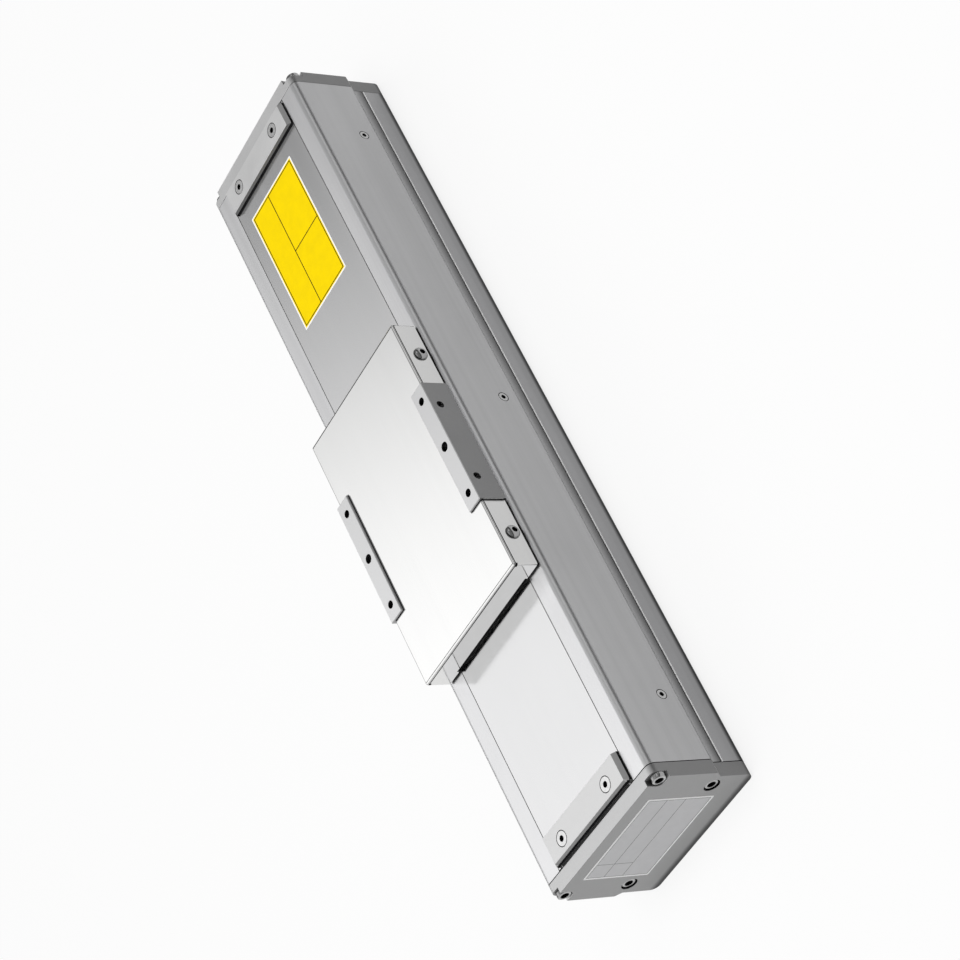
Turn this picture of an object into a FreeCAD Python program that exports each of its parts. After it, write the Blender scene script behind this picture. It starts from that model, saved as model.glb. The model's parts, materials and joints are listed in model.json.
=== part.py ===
import FreeCAD, Part
import os
import re
from math import cos, pi, sin, sqrt

import Sketcher

# An enclosed ball screw linear module, 100 mm wide, with a stroke of 100 mm. Millimetres.
# X runs along the module, with + at the end away from the motor, Y across it, Z up.
# The origin is at mid-length, mid-width, on the underside.

DOC = FreeCAD.newDocument("LinearModule")

# The driving sizes, one cell each in the sheet
SIZES = {
    # whole module
    "total_length": 474,
    "frame_width": 100,
    "body_height": 63,
    "plate_thick": 8,
    "thread_gap": 0.05,
    # base extrusion
    "base_inset": 2.7,
    "base_edge_radius": 4.5,
    "ledge_height": 15.7,
    "ledge_step": 1.2,
    "wall_height": 46,
    "wall_thick": 11.8,
    "floor_thick": 10,
    "foot_land_width": 17.3,
    "foot_recess_depth": 1,
    "foot_thread_inset": 69,
    "foot_thread_edge": 10,
    "foot_thread_radius": 2.5,
    "foot_thread_depth": 13,
    "foot_dowel_inset": 109,
    "foot_dowel_radius": 2.5,
    "foot_dowel_depth": 8,
    # side covers
    "top_radius": 4,
    "lid_thick": 5,
    "lid_rim": 13.7,
    "lid_seat": 3.8,
    "magnet_width": 2.9,
    "magnet_thick": 2.1,
    "magnet_gap": 0.1,
    "port_width": 8.5,
    "port_height": 11,
    "cover_groove": 0.4,
    "side_step_low": 21.6,
    "side_step_high": 24.8,
    "side_step_radius": 1.5,
    "side_screw_inset": 39,
    "side_screw_height": 33.4,
    "side_screw_depth": 10,
    # end plates
    "plate_foot_inset": 2.75,
    "corner_screw_inset": 4,
    "corner_screw_drop": 5.2,
    "corner_seat_depth": 3.3,
    "corner_seat_lean": 1.2,
    "low_screw_inset": 10.1,
    "low_screw_height": 21.8,
    "low_seat_depth": 3.4,
    "plate_seat_radius": 4.3,
    "plate_screw_reach": 12,
    "socket_radius": 8.6,
    "socket_spread": 24,
    "socket_drop": 17,
    "socket_wall": 1.6,
    "socket_floor": 1,
    "socket_face_drop": 5.2,
    "contact_height": 1,
    "contact_radius": 0.8,
    "contact_circle": 3.2,
    # fasteners
    "small_shank": 1.5,
    "small_head": 2.9,
    "small_head_height": 1.4,
    "small_key": 2,
    "middle_shank": 2,
    "middle_head": 3.5,
    "middle_head_height": 4,
    "middle_seat_radius": 4.3,
    "middle_key": 3,
    "low_cap_shank": 2,
    "low_cap_head": 3.5,
    "low_cap_head_height": 2.8,
    "low_cap_key": 3,
    "flat_head": 4.1,
    "flat_head_height": 2.1,
    "flat_key": 2.5,
    "button_head": 3.8,
    "button_height": 2.2,
    "button_edge": 1.2,
    "large_shank": 2.5,
    "large_head": 4.25,
    "large_head_height": 4.2,
    "large_seat_radius": 4.75,
    "large_seat_depth": 4.5,
    "large_key": 4,
    "large_grip": 12,
    "shank_gap": 0.25,
    # sealing strip and its clamps
    "strip_side_gap": 0.45,
    "strip_thick": 0.3,
    "strip_lift": 7.5,
    "clamp_gap": 0.6,
    "clamp_length": 17,
    "clamp_side_gap": 0.6,
    "clamp_thick": 3,
    "clamp_radius": 2.5,
    "clamp_screw_spread": 43,
    "clamp_screw_length": 9,
    # supports inside the channel
    "support_gap": 0.2,
    "lid_gap": 0.2,
    "end_gap": 0.5,
    "anchor_length": 17.5,
    "arch_width": 44,
    "arch_height": 46,
    "screw_height": 41,
    "float_length": 33.5,
    "float_shoulder": 8,
    "fixed_length": 24,
    "fixed_shoulder": 7,
    "fixed_top_drop": 1,
    "support_screw_edge": 7.5,
    # bearings
    "float_bearing_radius": 13,
    "float_bearing_bore": 5,
    "float_bearing_width": 8,
    "fixed_bearing_radius": 14,
    "fixed_bearing_bore": 6,
    "fixed_bearing_width": 8,
    "ring_thick": 2.4,
    "shoulder_gap": 1.4,
    "circlip_thick": 1.2,
    "circlip_depth": 1.2,
    "retainer_radius": 21,
    "retainer_thick": 5,
    "retainer_screw_circle": 17.5,
    "retainer_screw_length": 10,
    "nut_ring_radius": 10.5,
    "nut_ring_thick": 7,
    # ball screw, coupling and motor
    "thread_radius": 8,
    "screw_shoulder_radius": 7.5,
    "journal_end_gap": 2,
    "drive_journal_radius": 5,
    "drive_journal_length": 20,
    "run_gap": 0.05,
    "coupling_space": 40,
    "coupling_gap": 2.5,
    "coupling_length": 34,
    "coupling_radius": 13,
    "coupling_slit": 0.8,
    "coupling_slit_depth": 17,
    "motor_shaft_radius": 4,
    "motor_shaft_length": 26,
    "bracket_thick": 10,
    "pilot_radius": 15,
    "pilot_depth": 3,
    "motor_square": 40,
    "motor_corner": 12,
    "motor_flange_thick": 6,
    "motor_length": 90.5,
    "motor_gap": 0.5,
    "encoder_length": 18,
    "encoder_step": 0.6,
    "motor_bore_radius": 13.5,
    "rotor_gap": 0.5,
    "rotor_end_gap": 3,
    "motor_screw_circle": 23,
    "motor_screw_length": 14,
    # linear guides
    "rail_width": 15,
    "rail_height": 10,
    "rail_end_gap": 1,
    "rail_margin": 19.5,
    "rail_groove_depth": 1,
    "rail_groove_height": 3,
    "rail_seat_radius": 3,
    "rail_seat_depth": 4.5,
    "rail_screw_length": 12,
    "carriage_length": 42,
    "carriage_side_gap": 0.8,
    "carriage_middle_gap": 2.7,
    "carriage_clearance": 4,
    "carriage_pitch": 54,
    "carriage_height": 16,
    "carriage_gap": 0.3,
    "carriage_cap": 5,
    "carriage_cap_step": 0.5,
    # slider
    "over_travel": 3,
    "nut_clearance": 3.5,
    "block_length": 116,
    "block_side_gap": 0.5,
    "neck_length": 100,
    "neck_side_gap": 1,
    "ride_gap": 1,
    "table_side_gap": 0.25,
    "table_length": 104,
    "table_thick": 5.9,
    "table_flat_length": 76,
    "table_ramp_drop": 3.4,
    "pad_length": 76,
    "pad_inset": 1.5,
    "pad_width": 11,
    "pad_top": 80,
    "pad_chamfer": 0.4,
    "top_hole_pitch": 30,
    "top_thread_radius": 2.1,
    "top_thread_depth": 12,
    "top_dowel_radius": 2.5,
    "top_dowel_depth": 8,
    "side_hole_pitch": 47,
    "side_hole_height": 74.4,
    "side_hole_radius": 2.1,
    "side_hole_depth": 7,
    # ball nut
    "nut_radius": 13,
    "nut_length": 42,
    "nut_flange_radius": 24,
    "nut_flange_flat": 19,
    "nut_flange_thick": 10,
    "nut_screw_circle": 19,
    "nut_screw_length": 18,
    # slider cover
    "cover_length": 158,
    "cover_inset": 2.75,
    "cover_top": 78.5,
    "cover_sheet": 1.2,
    "cover_floor_gap": 0.9,
    "cover_fold_radius": 1.1,
    "cover_cut_gap": 0.4,
    "cover_slot_height": 1.7,
    "cover_screw_pitch": 117.5,
    "cover_screw_height": 69.4,
    "cover_screw_length": 8,
    # strip rollers and their brackets
    "bracket_end_gap": 0.3,
    "bracket_side_gap": 0.2,
    "bracket_channel_gap": 0.1,
    "bracket_channel_height": 9,
    "roller_radius": 4,
    "roller_gap": 0.05,
    "hold_roller_pitch": 142,
    "hold_roller_inset": 0.85,
    "lift_roller_pitch": 68,
    "lift_roller_inset": 5.85,
    "roller_slot_gap": 0.6,
    "axle_radius": 1.5,
    "axle_overlap": 6,
    # bumpers
    "bumper_radius": 3,
    "bumper_height": 50,
    "near_bumper_reach": 6.7,
    "bumper_gap": 0.3,
}

# Places along, across and up the module that follow from the sizes
PLACES = {
    "near_face": "total_length / 2 - plate_thick",
    "far_face": "plate_thick - total_length / 2",
    "extrusion_length": "total_length - 2 * plate_thick",
    "base_width": "frame_width - 2 * base_inset",
    "wall_face": "base_width / 2 - ledge_step",
    "channel_width": "base_width - 2 * wall_thick",
    "foot_recess_width": "base_width - 2 * foot_land_width",
    "foot_thread_spread": "frame_width - 2 * foot_thread_edge",
    "low_screw_spread": "frame_width - 2 * low_screw_inset",
    "plate_foot_width": "frame_width - 2 * plate_foot_inset",
    "strip_recess_width": "frame_width - 2 * lid_rim",
    "neck_opening": "strip_recess_width - 2 * lid_seat",
    "strip_width": "strip_recess_width - 2 * strip_side_gap",
    "clamp_width": "strip_recess_width - 2 * clamp_side_gap",
    "cover_foot": "ledge_height + cover_groove",
    "lid_bottom": "body_height - lid_thick",
    "strip_bottom": "body_height - strip_thick",
    "corner_screw_y": "frame_width / 2 - corner_screw_inset",
    "corner_screw_z": "body_height - corner_screw_drop",
    "clamp_x": "near_face - clamp_gap - clamp_length / 2",
    "support_width": "channel_width - 2 * support_gap",
    "support_screw_spread": "channel_width - 2 * support_screw_edge",
    "support_top_width": "neck_opening - 2 * support_gap",
    "support_top": "strip_bottom - 0.5 * thread_gap",
    "support_step": "lid_bottom - lid_gap",
    "float_face": "near_face - end_gap - float_length",
    "anchor_face": "far_face + end_gap + anchor_length",
    "motor_rear": "anchor_face + motor_gap",
    "motor_face": "motor_rear + motor_length",
    "bracket_face": "motor_face + bracket_thick",
    "fixed_back": "bracket_face + coupling_space",
    "fixed_face": "fixed_back + fixed_length",
    "block_far": "fixed_face + nut_clearance + nut_flange_thick + over_travel",
    "slider_x": "block_far + block_length / 2",
    "rail_start": "fixed_face + rail_end_gap",
    "rail_length": "float_face - fixed_face - 2 * rail_end_gap",
    "rail_pitch": "(rail_length - 2 * rail_margin) / 5",
    "rail_spread": "channel_width / 2 - carriage_side_gap + carriage_middle_gap",
    "carriage_width": "channel_width / 2 - carriage_side_gap - carriage_middle_gap",
    "carriage_top": "floor_thick + carriage_height",
    "table_bottom": "body_height + ride_gap",
    "table_top": "table_bottom + table_thick",
    "cover_bottom": "body_height + cover_floor_gap",
    "cover_width": "frame_width - 2 * cover_inset",
    "cover_inside_width": "cover_width - 2 * cover_sheet",
    "table_width": "cover_inside_width - 2 * table_side_gap",
    "pad_outer_width": "frame_width - 2 * pad_inset",
    "top_hole_spread": "pad_outer_width - pad_width",
    "cover_inside_top": "cover_top - cover_sheet",
    "hold_roller_length": "strip_width - 2 * hold_roller_inset",
    "lift_roller_length": "strip_width - 2 * lift_roller_inset",
    "bracket_channel_width": "strip_recess_width - 2 * bracket_channel_gap",
    "bumper_spread": "channel_width / 2 + nut_flange_radius",
    "hold_axis_z": "body_height + roller_radius + roller_gap",
    "lift_axis_z": "strip_bottom + strip_lift - roller_radius - roller_gap",
    "float_shoulder_x": "float_face + float_shoulder",
    "fixed_shoulder_x": "fixed_face - fixed_shoulder",
    "fixed_stack_end": "fixed_shoulder_x - 2 * fixed_bearing_width",
}

PIECES = []


def cells(formula):
    """Point each size and place named in a formula at the object that holds it."""

    def owner(match):
        word = match.group()
        if word in SIZES:
            return "Sizes." + word
        if word in PLACES:
            return "Places." + word
        return word

    return re.sub(r"[a-z_]+", owner, formula)


def bind(thing, name, formula):
    """Tie one property of an object to the sheet."""
    thing.setExpression(name, cells(formula))


def value(word):
    """Return the number that a size or a place has now."""
    holder = DOC.Sizes if word in SIZES else DOC.Places
    return float(getattr(holder, word))


def fill_sheet():
    """Write the driving sizes to the sheet and bind the places to them."""
    sheet = DOC.addObject("Spreadsheet::Sheet", "Sizes")
    for row, (word, number) in enumerate(SIZES.items(), 1):
        sheet.set(f"A{row}", word.replace("_", " "))
        sheet.set(f"B{row}", str(number))
        sheet.setAlias(f"B{row}", word)
    DOC.recompute()
    places = DOC.addObject("App::VarSet", "Places")
    for word in PLACES:
        places.addProperty("App::PropertyFloat", word)
    for word, formula in PLACES.items():
        bind(places, word, formula)
    DOC.recompute()


class Piece:
    """One sub-part: a body whose sketches and features are bound to the sheet."""

    def __init__(self, label):
        self.label = label
        self.body = DOC.addObject("PartDesign::Body", label)
        self.body.Label = label
        PIECES.append(self)

    def sketch(self, plane, at="0", across="0", up="0"):
        """Start a sketch on an origin plane, moved along its normal and within itself."""
        role = plane + "_Plane"
        support = next(part for part in self.body.Origin.OriginFeatures if part.Role == role)
        sketch = self.body.newObject("Sketcher::SketchObject", self.label + "_sketch")
        sketch.AttachmentSupport = (support, [""])
        sketch.MapMode = "FlatFace"
        normal = f"-({at})" if plane == "XZ" else at
        for name, formula in (("x", across), ("y", up), ("z", normal)):
            if formula != "0":
                bind(sketch, "AttachmentOffset.Base." + name, formula)
        return sketch

    def feature(self, kind, sketch, length, towards, taper=0):
        """Pad or pocket a sketch along the world axis of its normal: +, - or both ways."""
        before = self.volume()
        made = self.body.newObject("PartDesign::" + kind, f"{self.label}_{kind}")
        made.Profile = sketch
        bind(made, "Length", length)
        along = -1 if abs(sketch.Placement.Rotation.multVec(FreeCAD.Vector(0, 0, 1)).y) > 0.5 else 1
        if kind == "Pocket":
            along = -along
        if towards == "both":
            made.Midplane = True
        else:
            made.Reversed = (towards == "+") != (along > 0)
        made.TaperAngle = taper
        self.body.Tip = made
        DOC.recompute()
        change = self.volume() - before
        if change * (1 if kind == "Pad" else -1) <= 0:
            raise ValueError(f"{made.Name} changes nothing")
        return made

    def pad(self, sketch, length, towards="+", taper=0):
        """Add material."""
        return self.feature("Pad", sketch, length, towards, taper)

    def pocket(self, sketch, length, towards="-", taper=0):
        """Take material away."""
        return self.feature("Pocket", sketch, length, towards, taper)

    def revolve(self, sketch, cut=False):
        """Turn a sketch round its own horizontal axis."""
        kind = "Groove" if cut else "Revolution"
        made = self.body.newObject("PartDesign::" + kind, f"{self.label}_{kind}")
        made.Profile = sketch
        made.ReferenceAxis = (sketch, ["H_Axis"])
        made.Angle = 360
        self.body.Tip = made
        DOC.recompute()
        return made

    def dress(self, kind, edges, formula):
        """Fillet or chamfer the edges of the last feature that a test picks."""
        base = self.body.Tip
        names = [f"Edge{number}" for number, edge in enumerate(base.Shape.Edges, 1) if edges(edge)]
        if not names:
            raise ValueError(f"{self.label} has no edge for its {kind}")
        made = self.body.newObject("PartDesign::" + kind, f"{self.label}_{kind}")
        made.Base = (base, names)
        bind(made, "Radius" if kind == "Fillet" else "Size", formula)
        self.body.Tip = made
        DOC.recompute()
        return made

    def fillet(self, edges, formula):
        """Round the picked edges."""
        return self.dress("Fillet", edges, formula)

    def chamfer(self, edges, formula):
        """Bevel the picked edges."""
        return self.dress("Chamfer", edges, formula)

    def volume(self):
        """Return the volume so far."""
        return self.body.Tip.Shape.Volume if self.body.Tip else 0.0

    def shape(self):
        """Return the finished shape."""
        return self.body.Tip.Shape


class Built:
    """A sub-part whose shape is worked out from the sheet by this file."""

    def __init__(self, label, shape):
        self.label = label
        self.body = DOC.addObject("Part::Feature", label)
        self.body.Label = label
        self.body.Shape = shape
        PIECES.append(self)

    def shape(self):
        """Return the finished shape."""
        return self.body.Shape


def pin(sketch, item, point, across, up):
    """Hold one point of a sketch at a place given by two formulas."""
    for kind, formula in (("DistanceX", across), ("DistanceY", up)):
        number = sketch.addConstraint(Sketcher.Constraint(kind, -1, 1, item, point, 1.0))
        sketch.setExpression(f"Constraints[{number}]", cells(formula))


def outline(sketch, corners):
    """Draw a closed outline of straight sides through corners given by formulas."""
    first = sketch.GeometryCount
    count = len(corners)
    ring = [FreeCAD.Vector(9 * cos(2 * pi * i / count), 9 * sin(2 * pi * i / count), 0) for i in range(count)]
    for index in range(count):
        sketch.addGeometry(Part.LineSegment(ring[index], ring[(index + 1) % count]), False)
    for index in range(count):
        following = first + (index + 1) % count
        sketch.addConstraint(Sketcher.Constraint("Coincident", first + index, 2, following, 1))
    for index, (across, up) in enumerate(corners):
        pin(sketch, first + index, 1, across, up)
    return sketch


def both_sides(corners):
    """Complete an outline that is the same on both sides of the vertical axis."""
    return corners + [(f"-({across})", up) for across, up in reversed(corners)]


def oblong(sketch, left, right, low, high):
    """Draw a rectangle between four formulas."""
    return outline(sketch, [(left, low), (right, low), (right, high), (left, high)])


def circles(sketch, centres, radius):
    """Draw circles of one radius at centres given by formulas."""
    for across, up in centres:
        item = sketch.addGeometry(Part.Circle(FreeCAD.Vector(1, 1, 0), FreeCAD.Vector(0, 0, 1), 2), False)
        pin(sketch, item, 3, across, up)
        number = sketch.addConstraint(Sketcher.Constraint("Radius", item, 2.0))
        sketch.setExpression(f"Constraints[{number}]", cells(radius))
    return sketch


def hexagons(sketch, centres, key):
    """Draw hexagons of one key width at centres given by formulas."""
    for across, up in centres:
        corners = []
        for x, y in ((2, 0), (1, 1), (-1, 1), (-2, 0), (-1, -1), (1, -1)):
            corners.append((f"{across} + {x} * {key} / sqrt(12)", f"{up} + {y} * {key} / 2"))
        outline(sketch, corners)
    return sketch


def mirrored(centres):
    """Return centres on both sides of the vertical axis."""
    return [(f"{sign}({across})", up) for sign in ("", "-") for across, up in centres]


def along(axis, edge):
    """Tell whether an edge is straight and parallel to an axis."""
    if not isinstance(edge.Curve, Part.Line):
        return False
    return abs(abs(getattr(edge.Curve.Direction, axis)) - 1) < 1e-6


def rounds_at(axis, place):
    """Pick the circles that lie in a plane across an axis."""

    def pick(edge):
        middle = edge.CenterOfMass
        return isinstance(edge.Curve, Part.Circle) and abs(getattr(middle, axis) - place) < 1e-3

    return pick


def edges_at(axis, **where):
    """Pick the straight edges along an axis at the given places, on both sides where y is given."""

    def pick(edge):
        if not along(axis, edge):
            return False
        middle = edge.CenterOfMass
        for name, place in where.items():
            found = abs(middle.y) if name == "y" else getattr(middle, name)
            if abs(found - place) > 1e-3:
                return False
        return True

    return pick


def cap_screws(piece, plane, seat, out, centres, size, length):
    """Add socket head screws to a group: heads on the seat plane, shanks the other way."""
    back = "-" if out == "+" else "+"
    piece.pad(circles(piece.sketch(plane, seat), centres, size + "_shank"), length, back)
    piece.pad(circles(piece.sketch(plane, seat), centres, size + "_head"), size + "_head_height", out)
    top = f"({seat}) {out} {size}_head_height"
    piece.pocket(hexagons(piece.sketch(plane, top), centres, size + "_key"), size + "_head_height / 2", back)


def flat_screws(piece, plane, face, out, centres, head, shank, key, length):
    """Add countersunk screws to a group, flush with a face."""
    back = "-" if out == "+" else "+"
    depth = f"{head} - {shank}"
    piece.pad(circles(piece.sketch(plane, face), centres, head), depth, back, taper=-45)
    piece.pad(circles(piece.sketch(plane, f"{face} {back} ({depth})"), centres, shank), length, back)
    piece.pocket(hexagons(piece.sketch(plane, face), centres, key), depth, back)


def end_screw_centres():
    """Return the corner and the lower screw centres of an end plate."""
    corner = mirrored([("corner_screw_y", "corner_screw_z")])
    low = mirrored([("low_screw_spread / 2", "low_screw_height")])
    return corner, low


def side_screw_places():
    """Return the places of the screws that hold a side cover."""
    ends = "near_face - side_screw_inset"
    return [(f"-({ends})", "side_screw_height"), ("0", "side_screw_height"), (ends, "side_screw_height")]


def rail_screw_places():
    """Return the places of the rail screws, in plan."""
    places = []
    for side in ("", "-"):
        for index in range(6):
            places.append((f"rail_start + rail_margin + {index} * rail_pitch", f"{side}rail_spread / 2"))
    return places


def support_screw_places():
    """Return the places of the screws that hold the four supports, in plan."""
    stations = (
        "far_face + end_gap + anchor_length / 2",
        "motor_face + bracket_thick / 2",
        "fixed_back + fixed_length / 2",
        "near_face - end_gap - clamp_length / 2",
    )
    return [(x, f"{side}support_screw_spread / 2") for x in stations for side in ("", "-")]


def base_extrusion():
    """Make the base: a channel that stands on two lands."""
    piece = Piece("base_extrusion")
    corners = [
        ("foot_recess_width / 2", "foot_recess_depth"),
        ("foot_recess_width / 2", "0"),
        ("base_width / 2", "0"),
        ("base_width / 2", "ledge_height"),
        ("wall_face", "ledge_height"),
        ("wall_face", "wall_height"),
        ("channel_width / 2", "wall_height"),
        ("channel_width / 2", "floor_thick"),
    ]
    piece.pad(outline(piece.sketch("YZ", "far_face"), both_sides(corners)), "extrusion_length")
    piece.fillet(edges_at("x", y=value("base_width") / 2, z=0), "base_edge_radius")
    low = end_screw_centres()[1]
    for face, towards in (("far_face", "+"), ("near_face", "-")):
        holes = circles(piece.sketch("YZ", face), low, "low_cap_shank + thread_gap")
        piece.pocket(holes, "plate_screw_reach + 2 * thread_gap", towards)
    for side, towards in (("", "-"), ("-", "+")):
        holes = circles(piece.sketch("XZ", f"{side}wall_face"), side_screw_places(), "small_shank + thread_gap")
        piece.pocket(holes, "side_screw_depth", towards)
    threads = []
    for x in ("-(near_face - foot_thread_inset)", "0", "near_face - foot_thread_inset"):
        threads += [(x, f"{side}foot_thread_spread / 2") for side in ("", "-")]
    piece.pocket(circles(piece.sketch("XY"), threads, "foot_thread_radius"), "foot_thread_depth", "+")
    dowels = [(f"{side}(near_face - foot_dowel_inset)", "-foot_thread_spread / 2") for side in ("", "-")]
    piece.pocket(circles(piece.sketch("XY"), dowels, "foot_dowel_radius"), "foot_dowel_depth", "+")
    places = support_screw_places()
    seats = circles(piece.sketch("XY"), places, "large_seat_radius")
    piece.pocket(seats, "foot_recess_depth + large_seat_depth", "+")
    holes = circles(piece.sketch("XY"), places, "large_shank + shank_gap")
    piece.pocket(holes, "floor_thick + thread_gap", "+")
    holes = circles(piece.sketch("XY", "floor_thick"), rail_screw_places(), "small_shank + thread_gap")
    piece.pocket(holes, "rail_screw_length + rail_seat_depth - rail_height + thread_gap", "-")


def side_cover(label, side):
    """Make one side cover: a skin with a lid that carries the strip's edge on a magnet."""
    piece = Piece(label)
    magnet_in = "strip_recess_width / 2 - magnet_width - magnet_gap"
    magnet_low = "strip_bottom - magnet_thick - magnet_gap"
    corners = [
        ("wall_face", "cover_foot"),
        ("base_width / 2", "cover_foot"),
        ("base_width / 2", "side_step_low"),
        ("frame_width / 2", "side_step_high"),
        ("frame_width / 2", "body_height"),
        ("strip_recess_width / 2", "body_height"),
        ("strip_recess_width / 2", magnet_low),
        (magnet_in, magnet_low),
        (magnet_in, "strip_bottom - thread_gap"),
        ("neck_opening / 2", "strip_bottom - thread_gap"),
        ("neck_opening / 2", "lid_bottom"),
        ("frame_width / 2 - port_width", "lid_bottom"),
        ("frame_width / 2 - port_width", "body_height - port_height"),
        ("wall_face", "body_height - port_height"),
    ]
    profile = [(f"{side}({across})", up) for across, up in corners]
    piece.pad(outline(piece.sketch("YZ", "far_face"), profile), "extrusion_length")
    half = value("frame_width") / 2
    piece.fillet(edges_at("x", y=half, z=value("body_height")), "top_radius")
    step = (edges_at("x", y=value("base_width") / 2, z=value("side_step_low")),
            edges_at("x", y=half, z=value("side_step_high")))
    piece.fillet(lambda edge: any(pick(edge) for pick in step), "side_step_radius")
    port = [(f"{side}corner_screw_y", "corner_screw_z")]
    for face, towards in (("far_face", "+"), ("near_face", "-")):
        holes = circles(piece.sketch("YZ", face), port, "low_cap_shank + thread_gap")
        piece.pocket(holes, "plate_screw_reach + 2 * thread_gap", towards)
    inward = "+" if side else "-"
    holes = circles(piece.sketch("XZ", f"{side}frame_width / 2"), side_screw_places(), "small_shank + thread_gap")
    piece.pocket(holes, "frame_width / 2 - wall_face + thread_gap", inward)
    face = -half if side else half
    piece.chamfer(rounds_at("y", face), "small_head - small_shank")


def magnet_strips():
    """Make the two magnetic strips that hold the sealing strip down."""
    piece = Piece("magnet_strips")
    outer = "strip_recess_width / 2 - 0.5 * magnet_gap"
    inner = outer + " - magnet_width"
    top = "strip_bottom - 0.5 * magnet_gap"
    sketch = piece.sketch("YZ", "far_face + end_gap")
    for side in ("", "-"):
        corners = [(inner, top + " - magnet_thick"), (outer, top + " - magnet_thick"), (outer, top), (inner, top)]
        outline(sketch, [(f"{side}({across})", up) for across, up in corners])
    piece.pad(sketch, "extrusion_length - 2 * end_gap")


def side_cover_screws():
    """Make the countersunk screws of both side covers."""
    piece = Piece("side_cover_screws")
    for side, out in (("", "+"), ("-", "-")):
        face = f"{side}frame_width / 2"
        flat_screws(piece, "XZ", face, out, side_screw_places(), "small_head", "small_shank", "small_key",
                    "side_screw_depth")


def end_plate(label, inner, out):
    """Make an end plate with open corner seats and round lower seats for its screws."""
    piece = Piece(label)
    corners = [
        ("plate_foot_width / 2", "0"),
        ("plate_foot_width / 2", "side_step_low"),
        ("frame_width / 2", "side_step_high"),
        ("frame_width / 2", "body_height"),
    ]
    piece.pad(outline(piece.sketch("YZ", inner), both_sides(corners)), "plate_thick", out)
    piece.fillet(edges_at("x", y=value("plate_foot_width") / 2, z=0), "base_edge_radius")
    piece.fillet(edges_at("x", y=value("frame_width") / 2, z=value("body_height")), "top_radius")
    corner, low = end_screw_centres()
    back = "-" if out == "+" else "+"
    face = f"{inner} {out} plate_thick"
    holes = circles(piece.sketch("YZ", face), corner + low, "low_cap_shank + shank_gap")
    piece.pocket(holes, "plate_thick", back)
    piece.pocket(circles(piece.sketch("YZ", face), low, "plate_seat_radius"), "low_seat_depth", back)
    seats = piece.sketch("YZ", face)
    inner_y, inner_z = "corner_screw_y - plate_seat_radius", "corner_screw_z - plate_seat_radius"
    past, above = "frame_width / 2 + plate_seat_radius", "body_height + plate_seat_radius"
    for side in ("", "-"):
        path = [
            (f"{side}({inner_y})", inner_z),
            (f"{side}({past})", inner_z + " + corner_seat_lean"),
            (f"{side}({past})", above),
            (f"{side}({inner_y} + corner_seat_lean)", above),
        ]
        outline(seats, path)
    piece.pocket(seats, "corner_seat_depth", back)
    y = value("corner_screw_y") - value("plate_seat_radius")
    z = value("corner_screw_z") - value("plate_seat_radius")
    piece.fillet(edges_at("x", y=y, z=z), "plate_seat_radius - corner_seat_lean / 2")
    return piece


def far_plate_sockets():
    """Make the far end plate with its two flush sockets for the motor leads."""
    plate = end_plate("far_end_plate", "far_face", "-")
    centres = mirrored([("socket_spread / 2", "body_height - socket_drop")])
    face = "far_face - plate_thick"
    plate.pocket(circles(plate.sketch("YZ", face), centres, "socket_radius"), "plate_thick", "+")
    shells = Piece("socket_shells")
    rim = "socket_radius - thread_gap"
    shells.pad(circles(shells.sketch("YZ", face), centres, rim), "plate_thick")
    depth = "plate_thick - socket_floor"
    shells.pocket(circles(shells.sketch("YZ", face), centres, rim + " - socket_wall"), depth, "+")
    inserts = Piece("socket_inserts")
    core = circles(inserts.sketch("YZ", f"{face} + {depth}"), centres, rim + " - socket_wall - thread_gap")
    inserts.pad(core, depth + " - socket_face_drop", "-")
    pins = []
    for side in ("", "-"):
        for across, up in ((1, 1), (-1, 1), (-1, -1), (1, -1)):
            step = "contact_circle / sqrt(2)"
            y = f"{side}socket_spread / 2 + {across} * {step}"
            pins.append((y, f"body_height - socket_drop + {up} * {step}"))
    top = face + " + socket_face_drop"
    inserts.pad(circles(inserts.sketch("YZ", top), pins, "contact_radius"), "contact_height", "-")


def plate_screws(label, inner, out):
    """Make the four screws of an end plate."""
    piece = Piece(label)
    corner, low = end_screw_centres()
    for centres, depth in ((corner, "corner_seat_depth"), (low, "low_seat_depth")):
        seat = f"{inner} {out} (plate_thick - {depth})"
        length = f"plate_screw_reach + plate_thick - {depth}"
        cap_screws(piece, "YZ", seat, out, centres, "low_cap", length)


def strip_clamp(label, side):
    """Make one clamp plate of the sealing strip, with two rounded outer corners."""
    piece = Piece(label)
    outer = f"{side}(clamp_x + clamp_length / 2)"
    inner = f"{side}(clamp_x - clamp_length / 2)"
    plan = [(inner, "-clamp_width / 2"), (outer, "-clamp_width / 2"), (outer, "clamp_width / 2"),
            (inner, "clamp_width / 2")]
    piece.pad(outline(piece.sketch("XY", "body_height"), plan), "clamp_thick")
    far = value("clamp_x") + value("clamp_length") / 2
    piece.fillet(edges_at("z", x=-far if side else far), "clamp_radius")
    centres = [(f"{side}clamp_x", f"{across}clamp_screw_spread / 2") for across in ("", "-")]
    holes = circles(piece.sketch("XY", "body_height"), centres, "middle_shank + thread_gap")
    piece.pocket(holes, "clamp_thick", "+")
    top = value("body_height") + value("clamp_thick")
    piece.chamfer(rounds_at("z", top), "flat_head - middle_shank")


def strip_clamp_screws():
    """Make the four countersunk screws that go through clamps and strip into the supports."""
    piece = Piece("strip_clamp_screws")
    centres = []
    for side in ("", "-"):
        centres += [(f"{side}clamp_x", f"{across}clamp_screw_spread / 2") for across in ("", "-")]
    flat_screws(piece, "XY", "body_height + clamp_thick", "+", centres, "flat_head", "middle_shank", "flat_key",
                "clamp_screw_length")


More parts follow.
